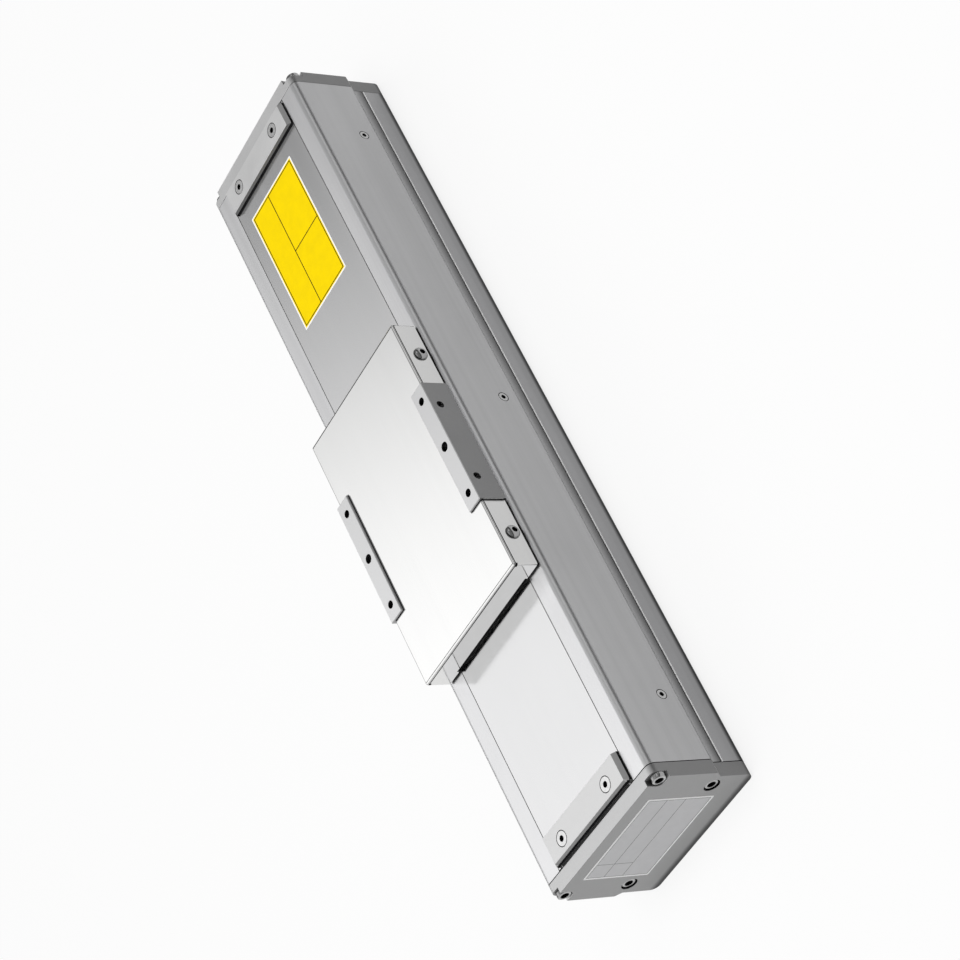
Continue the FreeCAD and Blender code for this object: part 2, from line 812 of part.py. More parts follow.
def support_profile(top):
    """Return the outline of a support that fills the channel and passes between the lids."""
    corners = [
        ("support_width / 2", "floor_thick"),
        ("support_width / 2", "support_step"),
        ("support_top_width / 2", "support_step"),
        ("support_top_width / 2", top),
    ]
    return both_sides(corners)


def support_threads(piece, station):
    """Cut the two threads in a support's foot."""
    centres = [(station, f"{side}support_screw_spread / 2") for side in ("", "-")]
    holes = circles(piece.sketch("XY", "floor_thick"), centres, "large_shank + thread_gap")
    piece.pocket(holes, "large_grip", "+")


def clamp_threads(piece, side):
    """Cut the two threads that take the strip clamp's screws."""
    centres = [(f"{side}clamp_x", f"{across}clamp_screw_spread / 2") for across in ("", "-")]
    holes = circles(piece.sketch("XY", "support_top"), centres, "middle_shank + thread_gap")
    piece.pocket(holes, "clamp_screw_length + thread_gap", "-")


def far_strip_anchor():
    """Make the bridge at the far end, open below for the motor leads."""
    piece = Piece("far_strip_anchor")
    sketch = outline(piece.sketch("YZ", "far_face + end_gap"), support_profile("support_top"))
    piece.pad(sketch, "anchor_length")
    arch = piece.sketch("YZ", "far_face + end_gap")
    oblong(arch, "-arch_width / 2", "arch_width / 2", "floor_thick", "floor_thick + arch_height - arch_width / 4")
    piece.pocket(arch, "anchor_length", "+")
    support_threads(piece, "far_face + end_gap + anchor_length / 2")
    clamp_threads(piece, "-")


def float_support():
    """Make the near support: the floating bearing's seat and the near strip anchor in one block."""
    piece = Piece("float_support")
    piece.pad(outline(piece.sketch("YZ", "float_face"), support_profile("support_top")), "float_length")
    axis = [("0", "screw_height")]
    bore = circles(piece.sketch("YZ", "float_face"), axis, "float_bearing_radius - shoulder_gap")
    piece.pocket(bore, "float_length", "+")
    seat = circles(piece.sketch("YZ", "float_shoulder_x"), axis, "float_bearing_radius")
    piece.pocket(seat, "float_length", "+")
    groove = "float_shoulder_x + float_bearing_width"
    ring = circles(piece.sketch("YZ", groove), axis, "float_bearing_radius + circlip_depth / 2")
    piece.pocket(ring, "circlip_thick + 2 * thread_gap", "+")
    support_threads(piece, "near_face - end_gap - clamp_length / 2")
    clamp_threads(piece, "")


def fixed_support():
    """Make the fixed bearing's housing."""
    piece = Piece("fixed_support")
    top = "support_top - fixed_top_drop"
    piece.pad(outline(piece.sketch("YZ", "fixed_back"), support_profile(top)), "fixed_length")
    axis = [("0", "screw_height")]
    bore = circles(piece.sketch("YZ", "fixed_face"), axis, "fixed_bearing_radius - shoulder_gap")
    piece.pocket(bore, "fixed_length", "-")
    seat = circles(piece.sketch("YZ", "fixed_shoulder_x"), axis, "fixed_bearing_radius")
    piece.pocket(seat, "fixed_length", "-")
    threads = circles(piece.sketch("YZ", "fixed_back"), retainer_screw_centres(), "small_shank + thread_gap")
    piece.pocket(threads, "retainer_screw_length", "+")
    support_threads(piece, "fixed_back + fixed_length / 2")


def retainer_screw_centres():
    """Return the centres of the bearing retainer's screws."""
    step = "retainer_screw_circle / sqrt(2)"
    return [(f"{y}{step}", f"screw_height {z} {step}") for y in ("", "-") for z in ("+", "-")]


def bearing_rings(label, start, width, count, inner_radius, outer_radius):
    """Make rings side by side, each with its corner bevelled."""
    piece = Piece(label)
    sketch = piece.sketch("XZ", "0", up="screw_height")
    for index in range(count):
        left = f"{start} + {index} * {width}"
        oblong(sketch, left + " + 0.5 * thread_gap", f"{left} + {width} - 0.5 * thread_gap", inner_radius,
               outer_radius)
    piece.revolve(sketch)


def bearings():
    """Make the rings of the floating bearing and of the fixed pair."""
    bearing_rings("float_outer_ring", "float_shoulder_x", "float_bearing_width", 1,
                  "float_bearing_radius - ring_thick", "float_bearing_radius - thread_gap")
    bearing_rings("float_inner_ring", "float_shoulder_x", "float_bearing_width", 1,
                  "float_bearing_bore + thread_gap", "float_bearing_bore + ring_thick")
    bearing_rings("fixed_outer_rings", "fixed_stack_end", "fixed_bearing_width", 2,
                  "fixed_bearing_radius - ring_thick", "fixed_bearing_radius - thread_gap")
    bearing_rings("fixed_inner_rings", "fixed_stack_end", "fixed_bearing_width", 2,
                  "fixed_bearing_bore + thread_gap", "fixed_bearing_bore + ring_thick")


def bearing_circlip():
    """Make the circlip that holds the floating bearing in its seat."""
    piece = Piece("bearing_circlip")
    sketch = piece.sketch("XZ", "0", up="screw_height")
    left = "float_shoulder_x + float_bearing_width + thread_gap"
    oblong(sketch, left, left + " + circlip_thick", "float_bearing_radius - circlip_depth",
           "float_bearing_radius + circlip_depth / 2 - thread_gap")
    piece.revolve(sketch)


def bearing_retainer():
    """Make the ring that clamps the fixed bearings, with its screws."""
    piece = Piece("bearing_retainer")
    sketch = piece.sketch("XZ", "0", up="screw_height")
    bore = "nut_ring_radius + run_gap"
    spigot = "fixed_bearing_radius - 2 * thread_gap"
    corners = [
        ("fixed_back - retainer_thick", bore),
        ("fixed_back - retainer_thick", "retainer_radius"),
        ("fixed_back", "retainer_radius"),
        ("fixed_back", spigot),
        ("fixed_stack_end", spigot),
        ("fixed_stack_end", bore),
    ]
    piece.revolve(outline(sketch, corners))
    face = "fixed_back - retainer_thick"
    centres = retainer_screw_centres()
    holes = circles(piece.sketch("YZ", face), centres, "small_shank + thread_gap")
    piece.pocket(holes, "retainer_thick + thread_gap", "+")
    screws = Piece("retainer_screws")
    length = "retainer_thick + retainer_screw_length - 1"
    screws.pad(circles(screws.sketch("YZ", face), centres, "small_shank"), length)
    screws.pad(circles(screws.sketch("YZ", face), centres, "small_head - thread_gap"), "small_head_height", "-")


def ball_screw():
    """Make the screw with its journals, and the ring nut that preloads the fixed bearings."""
    piece = Piece("ball_screw")
    sketch = piece.sketch("XZ", "0", up="screw_height")
    float_end = "float_shoulder_x + float_bearing_width + circlip_thick + journal_end_gap"
    drive_start = "fixed_back - coupling_gap"
    corners = [
        ("drive_tip", "0"),
        (float_end, "0"),
        (float_end, "float_bearing_bore"),
        ("float_shoulder_x", "float_bearing_bore"),
        ("float_shoulder_x", "thread_radius"),
        ("fixed_face + 1", "thread_radius"),
        ("fixed_face + 1", "screw_shoulder_radius"),
        ("fixed_shoulder_x", "screw_shoulder_radius"),
        ("fixed_shoulder_x", "fixed_bearing_bore"),
        (drive_start, "fixed_bearing_bore"),
        (drive_start, "drive_journal_radius"),
        ("drive_tip", "drive_journal_radius"),
    ]
    tip = "fixed_back - drive_journal_length"
    piece.revolve(outline(sketch, [(x.replace("drive_tip", tip), r) for x, r in corners]))
    ring = Piece("preload_ring_nut")
    sketch = ring.sketch("XZ", "0", up="screw_height")
    oblong(sketch, "fixed_stack_end - nut_ring_thick", "fixed_stack_end - 0.5 * thread_gap",
           "fixed_bearing_bore + thread_gap", "nut_ring_radius")
    ring.revolve(sketch)


def coupling():
    """Make the beam coupling: a hub with slits that let it flex."""
    piece = Piece("beam_coupling")
    start = "fixed_back - nut_ring_thick - coupling_gap"
    far = f"({start} - coupling_length)"
    axis = [("0", "screw_height")]
    piece.pad(circles(piece.sketch("YZ", start), axis, "coupling_radius"), "coupling_length", "-")
    drive = circles(piece.sketch("YZ", start), axis, "drive_journal_radius + thread_gap")
    piece.pocket(drive, "coupling_length / 2", "-")
    shaft = circles(piece.sketch("YZ", far), axis, "motor_shaft_radius + 2 * thread_gap")
    piece.pocket(shaft, "coupling_length / 2", "+")
    for index, towards in enumerate(("+", "-", "+", "-")):
        middle = f"{far} + coupling_length * {0.32 + 0.12 * index:.2f}"
        sketch = piece.sketch("XZ", f"{'-' if towards == '+' else ''}coupling_radius")
        oblong(sketch, f"{middle} - coupling_slit / 2", f"{middle} + coupling_slit / 2",
               "screw_height - 2 * coupling_radius", "screw_height + 2 * coupling_radius")
        piece.pocket(sketch, "coupling_slit_depth", towards)


def motor_outline(sketch, size, corner):
    """Draw a square with bevelled corners round the screw's axis."""
    half = f"({size}) / 2"
    step = f"({half} - {corner})"
    signs = ((half, step), (step, half))
    corners = []
    for y_sign, z_sign in (("", "+"), ("-", "+"), ("-", "-"), ("", "-")):
        pair = signs if (y_sign == "") == (z_sign == "+") else signs[::-1]
        corners += [(f"{y_sign}{y}", f"screw_height {z_sign} {z}") for y, z in pair]
    return outline(sketch, corners)


def motor():
    """Make the built-in servo motor: flange, housing, encoder cap and rotor."""
    axis = [("0", "screw_height")]
    flange = Piece("motor_flange")
    sketch = flange.sketch("YZ", "motor_face")
    flange.pad(motor_outline(sketch, "motor_square", "2"), "motor_flange_thick", "-")
    pilot = circles(flange.sketch("YZ", "motor_face"), axis, "pilot_radius - thread_gap")
    flange.pad(pilot, "pilot_depth")
    bore = circles(flange.sketch("YZ", "motor_face + pilot_depth"), axis, "motor_shaft_radius + run_gap")
    flange.pocket(bore, "pilot_depth + motor_flange_thick")
    holes = circles(flange.sketch("YZ", "motor_face"), motor_screw_centres(), "middle_shank + shank_gap")
    flange.pocket(holes, "motor_flange_thick")

    housing = Piece("motor_housing")
    length = "motor_length - motor_flange_thick - encoder_length"
    sketch = housing.sketch("YZ", "motor_face - motor_flange_thick")
    housing.pad(motor_outline(sketch, "motor_square - 1", "motor_corner"), length, "-")
    bore = circles(housing.sketch("YZ", "motor_face - motor_flange_thick"), axis, "motor_bore_radius")
    housing.pocket(bore, length, "-")

    cap = Piece("encoder_cap")
    sketch = cap.sketch("YZ", "motor_rear")
    cap.pad(motor_outline(sketch, "motor_square - 1 - 2 * encoder_step", "motor_corner / 2"), "encoder_length")
    cap.fillet(lambda edge: along("x", edge), "2 * encoder_step")
    bore = circles(cap.sketch("YZ", "motor_rear + encoder_length"), axis, "motor_shaft_radius + run_gap")
    cap.pocket(bore, "encoder_length / 2")

    rotor = Piece("motor_rotor")
    sketch = rotor.sketch("XZ", "0", up="screw_height")
    tail = "motor_rear + encoder_length * 0.6"
    corners = [
        (tail, "0"),
        ("motor_face + motor_shaft_length", "0"),
        ("motor_face + motor_shaft_length", "motor_shaft_radius"),
        ("motor_face - motor_flange_thick - rotor_end_gap", "motor_shaft_radius"),
        ("motor_face - motor_flange_thick - rotor_end_gap", "motor_bore_radius - rotor_gap"),
        ("motor_rear + encoder_length + rotor_end_gap", "motor_bore_radius - rotor_gap"),
        ("motor_rear + encoder_length + rotor_end_gap", "motor_shaft_radius"),
        (tail, "motor_shaft_radius"),
    ]
    rotor.revolve(outline(sketch, corners))


def motor_screw_centres():
    """Return the centres of the motor flange's screws."""
    step = "motor_screw_circle / sqrt(2)"
    return [(f"{y}{step}", f"screw_height {z} {step}") for y in ("", "-") for z in ("+", "-")]


def motor_bracket():
    """Make the plate that carries the motor, with the motor's screws."""
    piece = Piece("motor_bracket")
    top = "support_top - fixed_top_drop"
    piece.pad(outline(piece.sketch("YZ", "motor_face"), support_profile(top)), "bracket_thick")
    bore = circles(piece.sketch("YZ", "motor_face"), [("0", "screw_height")], "pilot_radius")
    piece.pocket(bore, "bracket_thick", "+")
    threads = circles(piece.sketch("YZ", "motor_face"), motor_screw_centres(), "middle_shank + thread_gap")
    piece.pocket(threads, "bracket_thick", "+")
    support_threads(piece, "motor_face + bracket_thick / 2")
    screws = Piece("motor_screws")
    seat = "motor_face - motor_flange_thick"
    cap_screws(screws, "YZ", seat, "-", motor_screw_centres(), "middle", "motor_screw_length")


def support_screws():
    """Make the screws that hold the supports from below."""
    piece = Piece("support_screws")
    seat = "foot_recess_depth + large_seat_depth"
    length = "floor_thick - foot_recess_depth - large_seat_depth + large_grip - 1"
    cap_screws(piece, "XY", seat, "-", support_screw_places(), "large", length)


def guide_rail(label, side):
    """Make one guide rail with a ball groove along each flank."""
    piece = Piece(label)
    middle = f"{side}rail_spread / 2"
    groove = "floor_thick + rail_height / 2"
    corners = [
        ("rail_width / 2", "floor_thick"),
        ("rail_width / 2", groove),
        ("rail_width / 2 - rail_groove_depth", groove + " + rail_groove_depth"),
        ("rail_width / 2 - rail_groove_depth", groove + " + rail_groove_height - rail_groove_depth"),
        ("rail_width / 2", groove + " + rail_groove_height"),
        ("rail_width / 2", "floor_thick + rail_height"),
    ]
    sketch = piece.sketch("YZ", "rail_start", across=middle)
    piece.pad(outline(sketch, both_sides(corners)), "rail_length")
    places = [place for place in rail_screw_places() if place[1].startswith("-") == (side == "-")]
    top = "floor_thick + rail_height"
    piece.pocket(circles(piece.sketch("XY", top), places, "rail_seat_radius"), "rail_seat_depth", "-")
    piece.pocket(circles(piece.sketch("XY", top), places, "small_shank + thread_gap"), "rail_height", "-")


def rail_screws():
    """Make the screws of both rails."""
    piece = Piece("rail_screws")
    seat = "floor_thick + rail_height - rail_seat_depth"
    places = rail_screw_places()
    piece.pad(circles(piece.sketch("XY", seat), places, "small_head - thread_gap"), "2 * small_head_height", "+")
    piece.pad(circles(piece.sketch("XY", seat), places, "small_shank"), "rail_screw_length", "-")


def carriage(label, side, end):
    """Make one guide carriage: a steel block between two end caps, astride its rail."""
    piece = Piece(label)
    middle = f"{side}rail_spread / 2"
    centre = f"slider_x {end} carriage_pitch / 2"

    inside = "rail_width / 2 + carriage_gap"
    roof = "floor_thick + rail_height + carriage_gap"
    low = "floor_thick + carriage_clearance"
    core_end = "(carriage_length / 2 - carriage_cap)"
    sections = (
        (f"{centre} - {core_end}", "+", "carriage_length - 2 * carriage_cap", "0"),
        (f"{centre} - {core_end}", "-", "carriage_cap", "carriage_cap_step"),
        (f"{centre} + {core_end}", "+", "carriage_cap", "carriage_cap_step"),
    )
    for start, towards, length, step in sections:
        half, high = f"carriage_width / 2 - {step}", f"carriage_top - {step}"
        corners = [(inside, roof), (inside, low), (half, low), (half, high)]
        sketch = piece.sketch("YZ", start, across=middle)
        piece.pad(outline(sketch, both_sides(corners)), length, towards)


def slider_block():
    """Make the moving table: block, neck, table and the two raised pads of the mounting face."""
    piece = Piece("slider_block")
    far = "slider_x - block_length / 2"
    lower = piece.sketch("YZ", far)
    half = "channel_width / 2 - block_side_gap"
    oblong(lower, f"-({half})", half, "carriage_top", "lid_bottom - ride_gap")
    piece.pad(lower, "block_length")
    neck = piece.sketch("XY", "lid_bottom - ride_gap")
    half = "neck_opening / 2 - neck_side_gap"
    oblong(neck, "slider_x - neck_length / 2", "slider_x + neck_length / 2", f"-({half})", half)
    piece.pad(neck, "table_bottom - lid_bottom + ride_gap")
    table = piece.sketch("XZ", "0", across="slider_x")
    corners = [
        ("table_length / 2", "table_bottom"),
        ("table_length / 2", "table_top - table_ramp_drop"),
        ("table_flat_length / 2", "table_top"),
    ]
    piece.pad(outline(table, both_sides(corners)), "table_width", "both")
    pads = piece.sketch("XY", "table_bottom")
    for side in ("", "-"):
        outer, inner = f"{side}pad_outer_width / 2", f"{side}(pad_outer_width / 2 - pad_width)"
        low, high = (inner, outer) if side == "" else (outer, inner)
        oblong(pads, "slider_x - pad_length / 2", "slider_x + pad_length / 2", low, high)
    piece.pad(pads, "pad_top - table_bottom")
    top = value("pad_top")
    piece.chamfer(lambda edge: abs(edge.CenterOfMass.z - top) < 1e-3, "pad_chamfer")

    bore = circles(piece.sketch("YZ", far), [("0", "screw_height")], "nut_radius + thread_gap")
    piece.pocket(bore, "block_length", "+")
    nut_threads = circles(piece.sketch("YZ", far), nut_screw_centres(), "middle_shank + thread_gap")
    piece.pocket(nut_threads, "nut_screw_length - nut_flange_thick + 1", "+")
    slots = piece.sketch("XY", "table_top")
    room = "roller_radius + roller_slot_gap"
    wide = "lift_roller_length / 2 + 0.5 * roller_slot_gap"
    for end in ("-", "+"):
        centre = f"slider_x {end} lift_roller_pitch / 2"
        oblong(slots, f"{centre} - ({room})", f"{centre} + ({room})", f"-({wide})", wide)
    piece.pocket(slots, f"table_top - lift_axis_z + {room}", "-")
    axles = piece.sketch("XZ", "0")
    centres = [(f"slider_x {end} lift_roller_pitch / 2", "lift_axis_z") for end in ("-", "+")]
    circles(axles, centres, "axle_radius + thread_gap")
    piece.pocket(axles, "lift_roller_length + 2 * axle_overlap + 2 * thread_gap", "both")

    threads = [(f"slider_x {end} top_hole_pitch", f"{side}top_hole_spread / 2")
               for end in ("-", "+") for side in ("", "-")]
    dowels = [("slider_x", f"{side}top_hole_spread / 2") for side in ("", "-")]
    piece.pocket(circles(piece.sketch("XY", "pad_top"), threads, "top_thread_radius"), "top_thread_depth", "-")
    piece.pocket(circles(piece.sketch("XY", "pad_top"), dowels, "top_dowel_radius"), "top_dowel_depth", "-")
    sides = [(f"slider_x {end} side_hole_pitch / 2", "side_hole_height") for end in ("-", "+")]
    for side, inward in (("", "-"), ("-", "+")):
        holes = circles(piece.sketch("XZ", f"{side}pad_outer_width / 2"), sides, "side_hole_radius")
        piece.pocket(holes, "side_hole_depth", inward)


def nut_screw_centres():
    """Return the centres of the nut flange's screws, clear of its flats."""
    places = []
    for degrees in (20, 160, 200, 340):
        y = f"nut_screw_circle * {cos(degrees * pi / 180):.4f}"
        places.append((y, f"screw_height + nut_screw_circle * {sin(degrees * pi / 180):.4f}"))
    return places


def ball_nut():
    """Make the ball nut, with flats on its flange, and its screws."""
    piece = Piece("ball_nut")
    axis = [("0", "screw_height")]
    piece.pad(circles(piece.sketch("YZ", "block_far"), axis, "nut_radius"), "nut_length")
    piece.pad(circles(piece.sketch("YZ", "block_far"), axis, "nut_flange_radius"), "nut_flange_thick", "-")
    flats = piece.sketch("YZ", "block_far")
    wide = "nut_flange_radius + 1"
    for sign, low, high in (("+", "nut_flange_flat", wide), ("-", wide, "nut_flange_flat")):
        oblong(flats, f"-({wide})", wide, f"screw_height {sign} ({low})", f"screw_height {sign} ({high})")
    piece.pocket(flats, "nut_flange_thick", "-")
    bore = circles(piece.sketch("YZ", "block_far + nut_length"), axis, "thread_radius + run_gap")
    piece.pocket(bore, "nut_length + nut_flange_thick", "-")
    face = "block_far - nut_flange_thick"
    holes = circles(piece.sketch("YZ", face), nut_screw_centres(), "middle_shank + shank_gap")
    piece.pocket(holes, "nut_flange_thick", "+")
    seats = circles(piece.sketch("YZ", face), nut_screw_centres(), "middle_seat_radius")
    piece.pocket(seats, "middle_head_height + 0.5", "+")
    screws = Piece("nut_screws")
    seat = face + " + middle_head_height + 0.5"
    cap_screws(screws, "YZ", seat, "-", nut_screw_centres(), "middle", "nut_screw_length - middle_head_height - 0.5")


def slider_cover():
    """Make the folded cover of the slider, cut out round the pads and open for the strip."""
    piece = Piece("slider_cover")
    shell = piece.sketch("XY", "cover_bottom")
    oblong(shell, "slider_x - cover_length / 2", "slider_x + cover_length / 2", "-cover_width / 2",
           "cover_width / 2")
    piece.pad(shell, "cover_top - cover_bottom")
    top, half = value("cover_top"), value("cover_width") / 2
    ends = [value("slider_x") + side * value("cover_length") / 2 for side in (-1, 1)]

    def folded(edge):
        middle = edge.CenterOfMass
        upright = along("z", edge)
        rim = abs(middle.z - top) < 1e-3
        return rim or (upright and abs(abs(middle.y) - half) < 1e-3 and min(abs(middle.x - x) for x in ends) < 1e-3)

    piece.fillet(folded, "cover_fold_radius")
    hollow = piece.sketch("XY", "cover_bottom")
    reach = "cover_length / 2 - cover_sheet"
    oblong(hollow, f"slider_x - ({reach})", f"slider_x + ({reach})", "-cover_inside_width / 2",
           "cover_inside_width / 2")
    piece.pocket(hollow, "cover_inside_top - cover_bottom", "+")
    cuts = piece.sketch("XY", "cover_top")
    reach = "pad_length / 2 + cover_cut_gap"
    for side in ("", "-"):
        inner = f"{side}(pad_outer_width / 2 - pad_width - cover_cut_gap)"
        outer = f"{side}(cover_width / 2 + 1)"
        low, high = (inner, outer) if side == "" else (outer, inner)
        oblong(cuts, f"slider_x - ({reach})", f"slider_x + ({reach})", low, high)
    piece.pocket(cuts, "cover_top - cover_bottom", "-")
    slots = piece.sketch("YZ", "slider_x")
    oblong(slots, "-strip_recess_width / 2", "strip_recess_width / 2", "cover_bottom",
           "cover_bottom + cover_slot_height")
    piece.pocket(slots, "cover_length", "both")
    holes = piece.sketch("XZ", "0")
    circles(holes, cover_screw_places(), "middle_shank + shank_gap")
    piece.pocket(holes, "cover_width", "both")


def cover_screw_places():
    """Return the places of the cover's button head screws."""
    return [(f"slider_x {end} cover_screw_pitch / 2", "cover_screw_height") for end in ("-", "+")]


def cover_screws():
    """Make the four button head screws of the slider's cover."""
    piece = Piece("slider_cover_screws")
    for side, out, back in (("", "+", "-"), ("-", "-", "+")):
        seat = f"{side}cover_width / 2"
        centres = cover_screw_places()
        piece.pad(circles(piece.sketch("XZ", seat), centres, "middle_shank"), "cover_screw_length", back)
        piece.pad(circles(piece.sketch("XZ", seat), centres, "button_head"), "button_height", out)
        top = value("cover_width") / 2 + value("button_height")
        piece.chamfer(rounds_at("y", -top if side else top), "button_edge")
        face = f"{side}(cover_width / 2 + button_height)"
        piece.pocket(hexagons(piece.sketch("XZ", face), centres, "flat_key"), "button_height - 0.5", back)


def roller_bracket(label, end):
    """Make the moulded bracket that carries a hold-down roller at one end of the slider."""
    piece = Piece(label)
    start = f"slider_x {end} table_length / 2"
    half = "cover_inside_width / 2 - bracket_side_gap"
    roof = "body_height + bracket_channel_height"
    channel = "bracket_channel_width / 2"
    corners = [
        (half, "table_bottom"), (half, "cover_inside_top - bracket_end_gap"),
        (f"-({half})", "cover_inside_top - bracket_end_gap"), (f"-({half})", "table_bottom"),
        (f"-({channel})", "table_bottom"), (f"-({channel})", roof), (channel, roof), (channel, "table_bottom"),
    ]
    length = "cover_length / 2 - cover_sheet - bracket_end_gap - table_length / 2"
    piece.pad(outline(piece.sketch("YZ", start), corners), length, end)
    bore = piece.sketch("XZ", "0")
    centre = (f"slider_x {end} hold_roller_pitch / 2", "hold_axis_z")
    circles(bore, [centre], "axle_radius + thread_gap")
    piece.pocket(bore, "hold_roller_length + 2 * axle_overlap + 2 * thread_gap", "both")
    threads = piece.sketch("XZ", "0")
    circles(threads, [(f"slider_x {end} cover_screw_pitch / 2", "cover_screw_height")],
            "middle_shank + thread_gap")
    piece.pocket(threads, "cover_width", "both")


def strip_roller(label, kind, end):
    """Make one strip roller, bored for its axle."""
    piece = Piece(label)
    centre = [(f"slider_x {end} {kind}_roller_pitch / 2", f"{kind}_axis_z")]
    piece.pad(circles(piece.sketch("XZ", "0"), centre, "roller_radius"), f"{kind}_roller_length", "both")
    bore = circles(piece.sketch("XZ", "0"), centre, "axle_radius + run_gap")
    piece.pocket(bore, f"{kind}_roller_length", "both")


def roller_axles():
    """Make the four axles of the strip rollers."""
    piece = Piece("roller_axles")
    for kind in ("hold", "lift"):
        centres = [(f"slider_x {end} {kind}_roller_pitch / 2", f"{kind}_axis_z") for end in ("-", "+")]
        sketch = circles(piece.sketch("XZ", "0"), centres, "axle_radius")
        piece.pad(sketch, f"{kind}_roller_length + 2 * axle_overlap", "both")


def bumpers(label, face, out, reach):
    """Make the two rubber bumpers that end the slider's travel."""
    piece = Piece(label)
    centres = mirrored([("bumper_spread / 2", "bumper_height")])
    piece.pad(circles(piece.sketch("YZ", face), centres, "bumper_radius"), reach, out)
    end = value("fixed_face") + value("nut_clearance") + value("nut_flange_thick") - value("bumper_gap")
    if out == "-":
        end = value("float_face") - value("near_bumper_reach")
    piece.chamfer(rounds_at("x", end), "1")


def sealing_strip():
    """Make the steel strip: flat on the lids, and lifted over the slider in two tangent curves."""
    flat_low = value("strip_bottom")
    thick = value("strip_thick")
    lift = value("strip_lift")
    outer = value("hold_roller_pitch") / 2
    inner = value("lift_roller_pitch") / 2 + 2
    run = outer - inner
    bend = (run * run + lift * lift) / (4 * lift)
    end = value("clamp_x") + value("clamp_length") / 2

    def curve(first, middle, last):
        points = [FreeCAD.Vector(x, 0, z) for x, z in (first, middle, last)]
        return Part.Arc(*points).toShape()

    def line(first, last):
        points = [FreeCAD.Vector(x, 0, z) for x, z in (first, last)]
        return Part.LineSegment(*points).toShape()

    def side(x_from, x_to, shift):
        """Return the edges of one face, from the far end to the near end."""
        centre = value("slider_x")
        low_centre = flat_low + bend
        high_centre = flat_low + lift - bend
        half_angle = 2 * sqrt(run * run / 4 + lift * lift / 4) / 2 / bend / 2
        full_angle = 2 * half_angle
        low_radius, high_radius = bend - shift, bend + shift
        edges = []
        for sign in (-1, 1):
            def place(x, mid_z, radius, angle, up):
                return (centre + sign * (x - up * radius * sin(angle)), mid_z - up * radius * cos(angle))
            flat = (centre + sign * outer, flat_low + shift)
            turn = place(outer, low_centre, low_radius, full_angle, 1)
            low_mid = place(outer, low_centre, low_radius, half_angle, 1)
            top = (centre + sign * inner, flat_low + lift + shift)
            high_mid = place(inner, high_centre, high_radius, half_angle, -1)
            ramp = [curve(flat, low_mid, turn), curve(turn, high_mid, top)]
            edges.append((flat, ramp, top))
        (far_flat, far_ramp, far_top), (near_flat, near_ramp, near_top) = edges
        return ([line((x_from, flat_low + shift), far_flat)] + far_ramp + [line(far_top, near_top)]
                + near_ramp + [line(near_flat, (x_to, flat_low + shift))])

    low = side(-end, end, 0.0)
    high = side(-end, end, thick)
    caps = [line((x, flat_low), (x, flat_low + thick)) for x in (-end, end)]
    wire = Part.Wire(Part.__sortEdges__(low + high + caps))
    face = Part.Face(wire)
    width = value("strip_width")
    solid = face.extrude(FreeCAD.Vector(0, width, 0))
    solid.translate(FreeCAD.Vector(0, -width / 2, 0))
    for x in (-value("clamp_x"), value("clamp_x")):
        for y in (-0.5, 0.5):
            hole = Part.makeCylinder(value("middle_shank") + value("shank_gap"), 4 * thick,
                                     FreeCAD.Vector(x, y * value("clamp_screw_spread"), flat_low - thick))
            solid = solid.cut(hole)
    Built("sealing_strip", solid)


def write_parts():
    """Check every object and sub-part, then write one file for each."""
    for thing in DOC.Objects:
        if "Invalid" in thing.State or "Error" in thing.State:
            raise ValueError(f"{thing.Name} failed: {thing.State}")
    for piece in PIECES:
        shape = piece.shape()
        if shape.isNull() or not shape.isValid():
            raise ValueError(f"{piece.label} has no valid shape")
    os.makedirs("parts", exist_ok=True)
    for piece in PIECES:
        piece.shape().exportStep(os.path.join("parts", piece.label + ".step"))


def main():
    """Build the module from its base up."""
    fill_sheet()
    base_extrusion()
    side_cover("right_side_cover", "")
    side_cover("left_side_cover", "-")
    side_cover_screws()
    magnet_strips()
    end_plate("near_end_plate", "near_face", "+")
    far_plate_sockets()
    plate_screws("near_plate_screws", "near_face", "+")
    plate_screws("far_plate_screws", "far_face", "-")
    strip_clamp("near_strip_clamp", "")
    strip_clamp("far_strip_clamp", "-")
    strip_clamp_screws()
    sealing_strip()
    far_strip_anchor()
    float_support()
    fixed_support()
    motor_bracket()
    support_screws()
    bearings()
    bearing_circlip()
    bearing_retainer()
    ball_screw()
    coupling()
    motor()
    guide_rail("right_guide_rail", "")
    guide_rail("left_guide_rail", "-")
    rail_screws()
    for side_name, side in (("right", ""), ("left", "-")):
        for end_name, end in (("far", "-"), ("near", "+")):
            carriage(f"{side_name}_{end_name}_carriage", side, end)
    slider_block()
    ball_nut()
    slider_cover()
    cover_screws()
    for end_name, end in (("far", "-"), ("near", "+")):
        roller_bracket(f"{end_name}_roller_bracket", end)
        for kind in ("hold", "lift"):
            strip_roller(f"{end_name}_{kind}_roller", kind, end)
    roller_axles()
    bumpers("far_bumpers", "fixed_face", "+", "nut_clearance + nut_flange_thick - bumper_gap")
    bumpers("near_bumpers", "float_face", "-", "near_bumper_reach")
    write_parts()


main()
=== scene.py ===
"""Looks of an enclosed ball screw linear module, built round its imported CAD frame.

Sizes of new pieces are in millimetres and are scaled to metres when a piece is finished.
X runs along the module with + at the near end, Y across it, Z up, as in the frame.
"""

import json
import logging
import math
import random
from dataclasses import dataclass, field
from enum import Enum
from typing import Callable, Iterable, Optional, Sequence

import bmesh
import bpy
from mathutils import Matrix, Vector

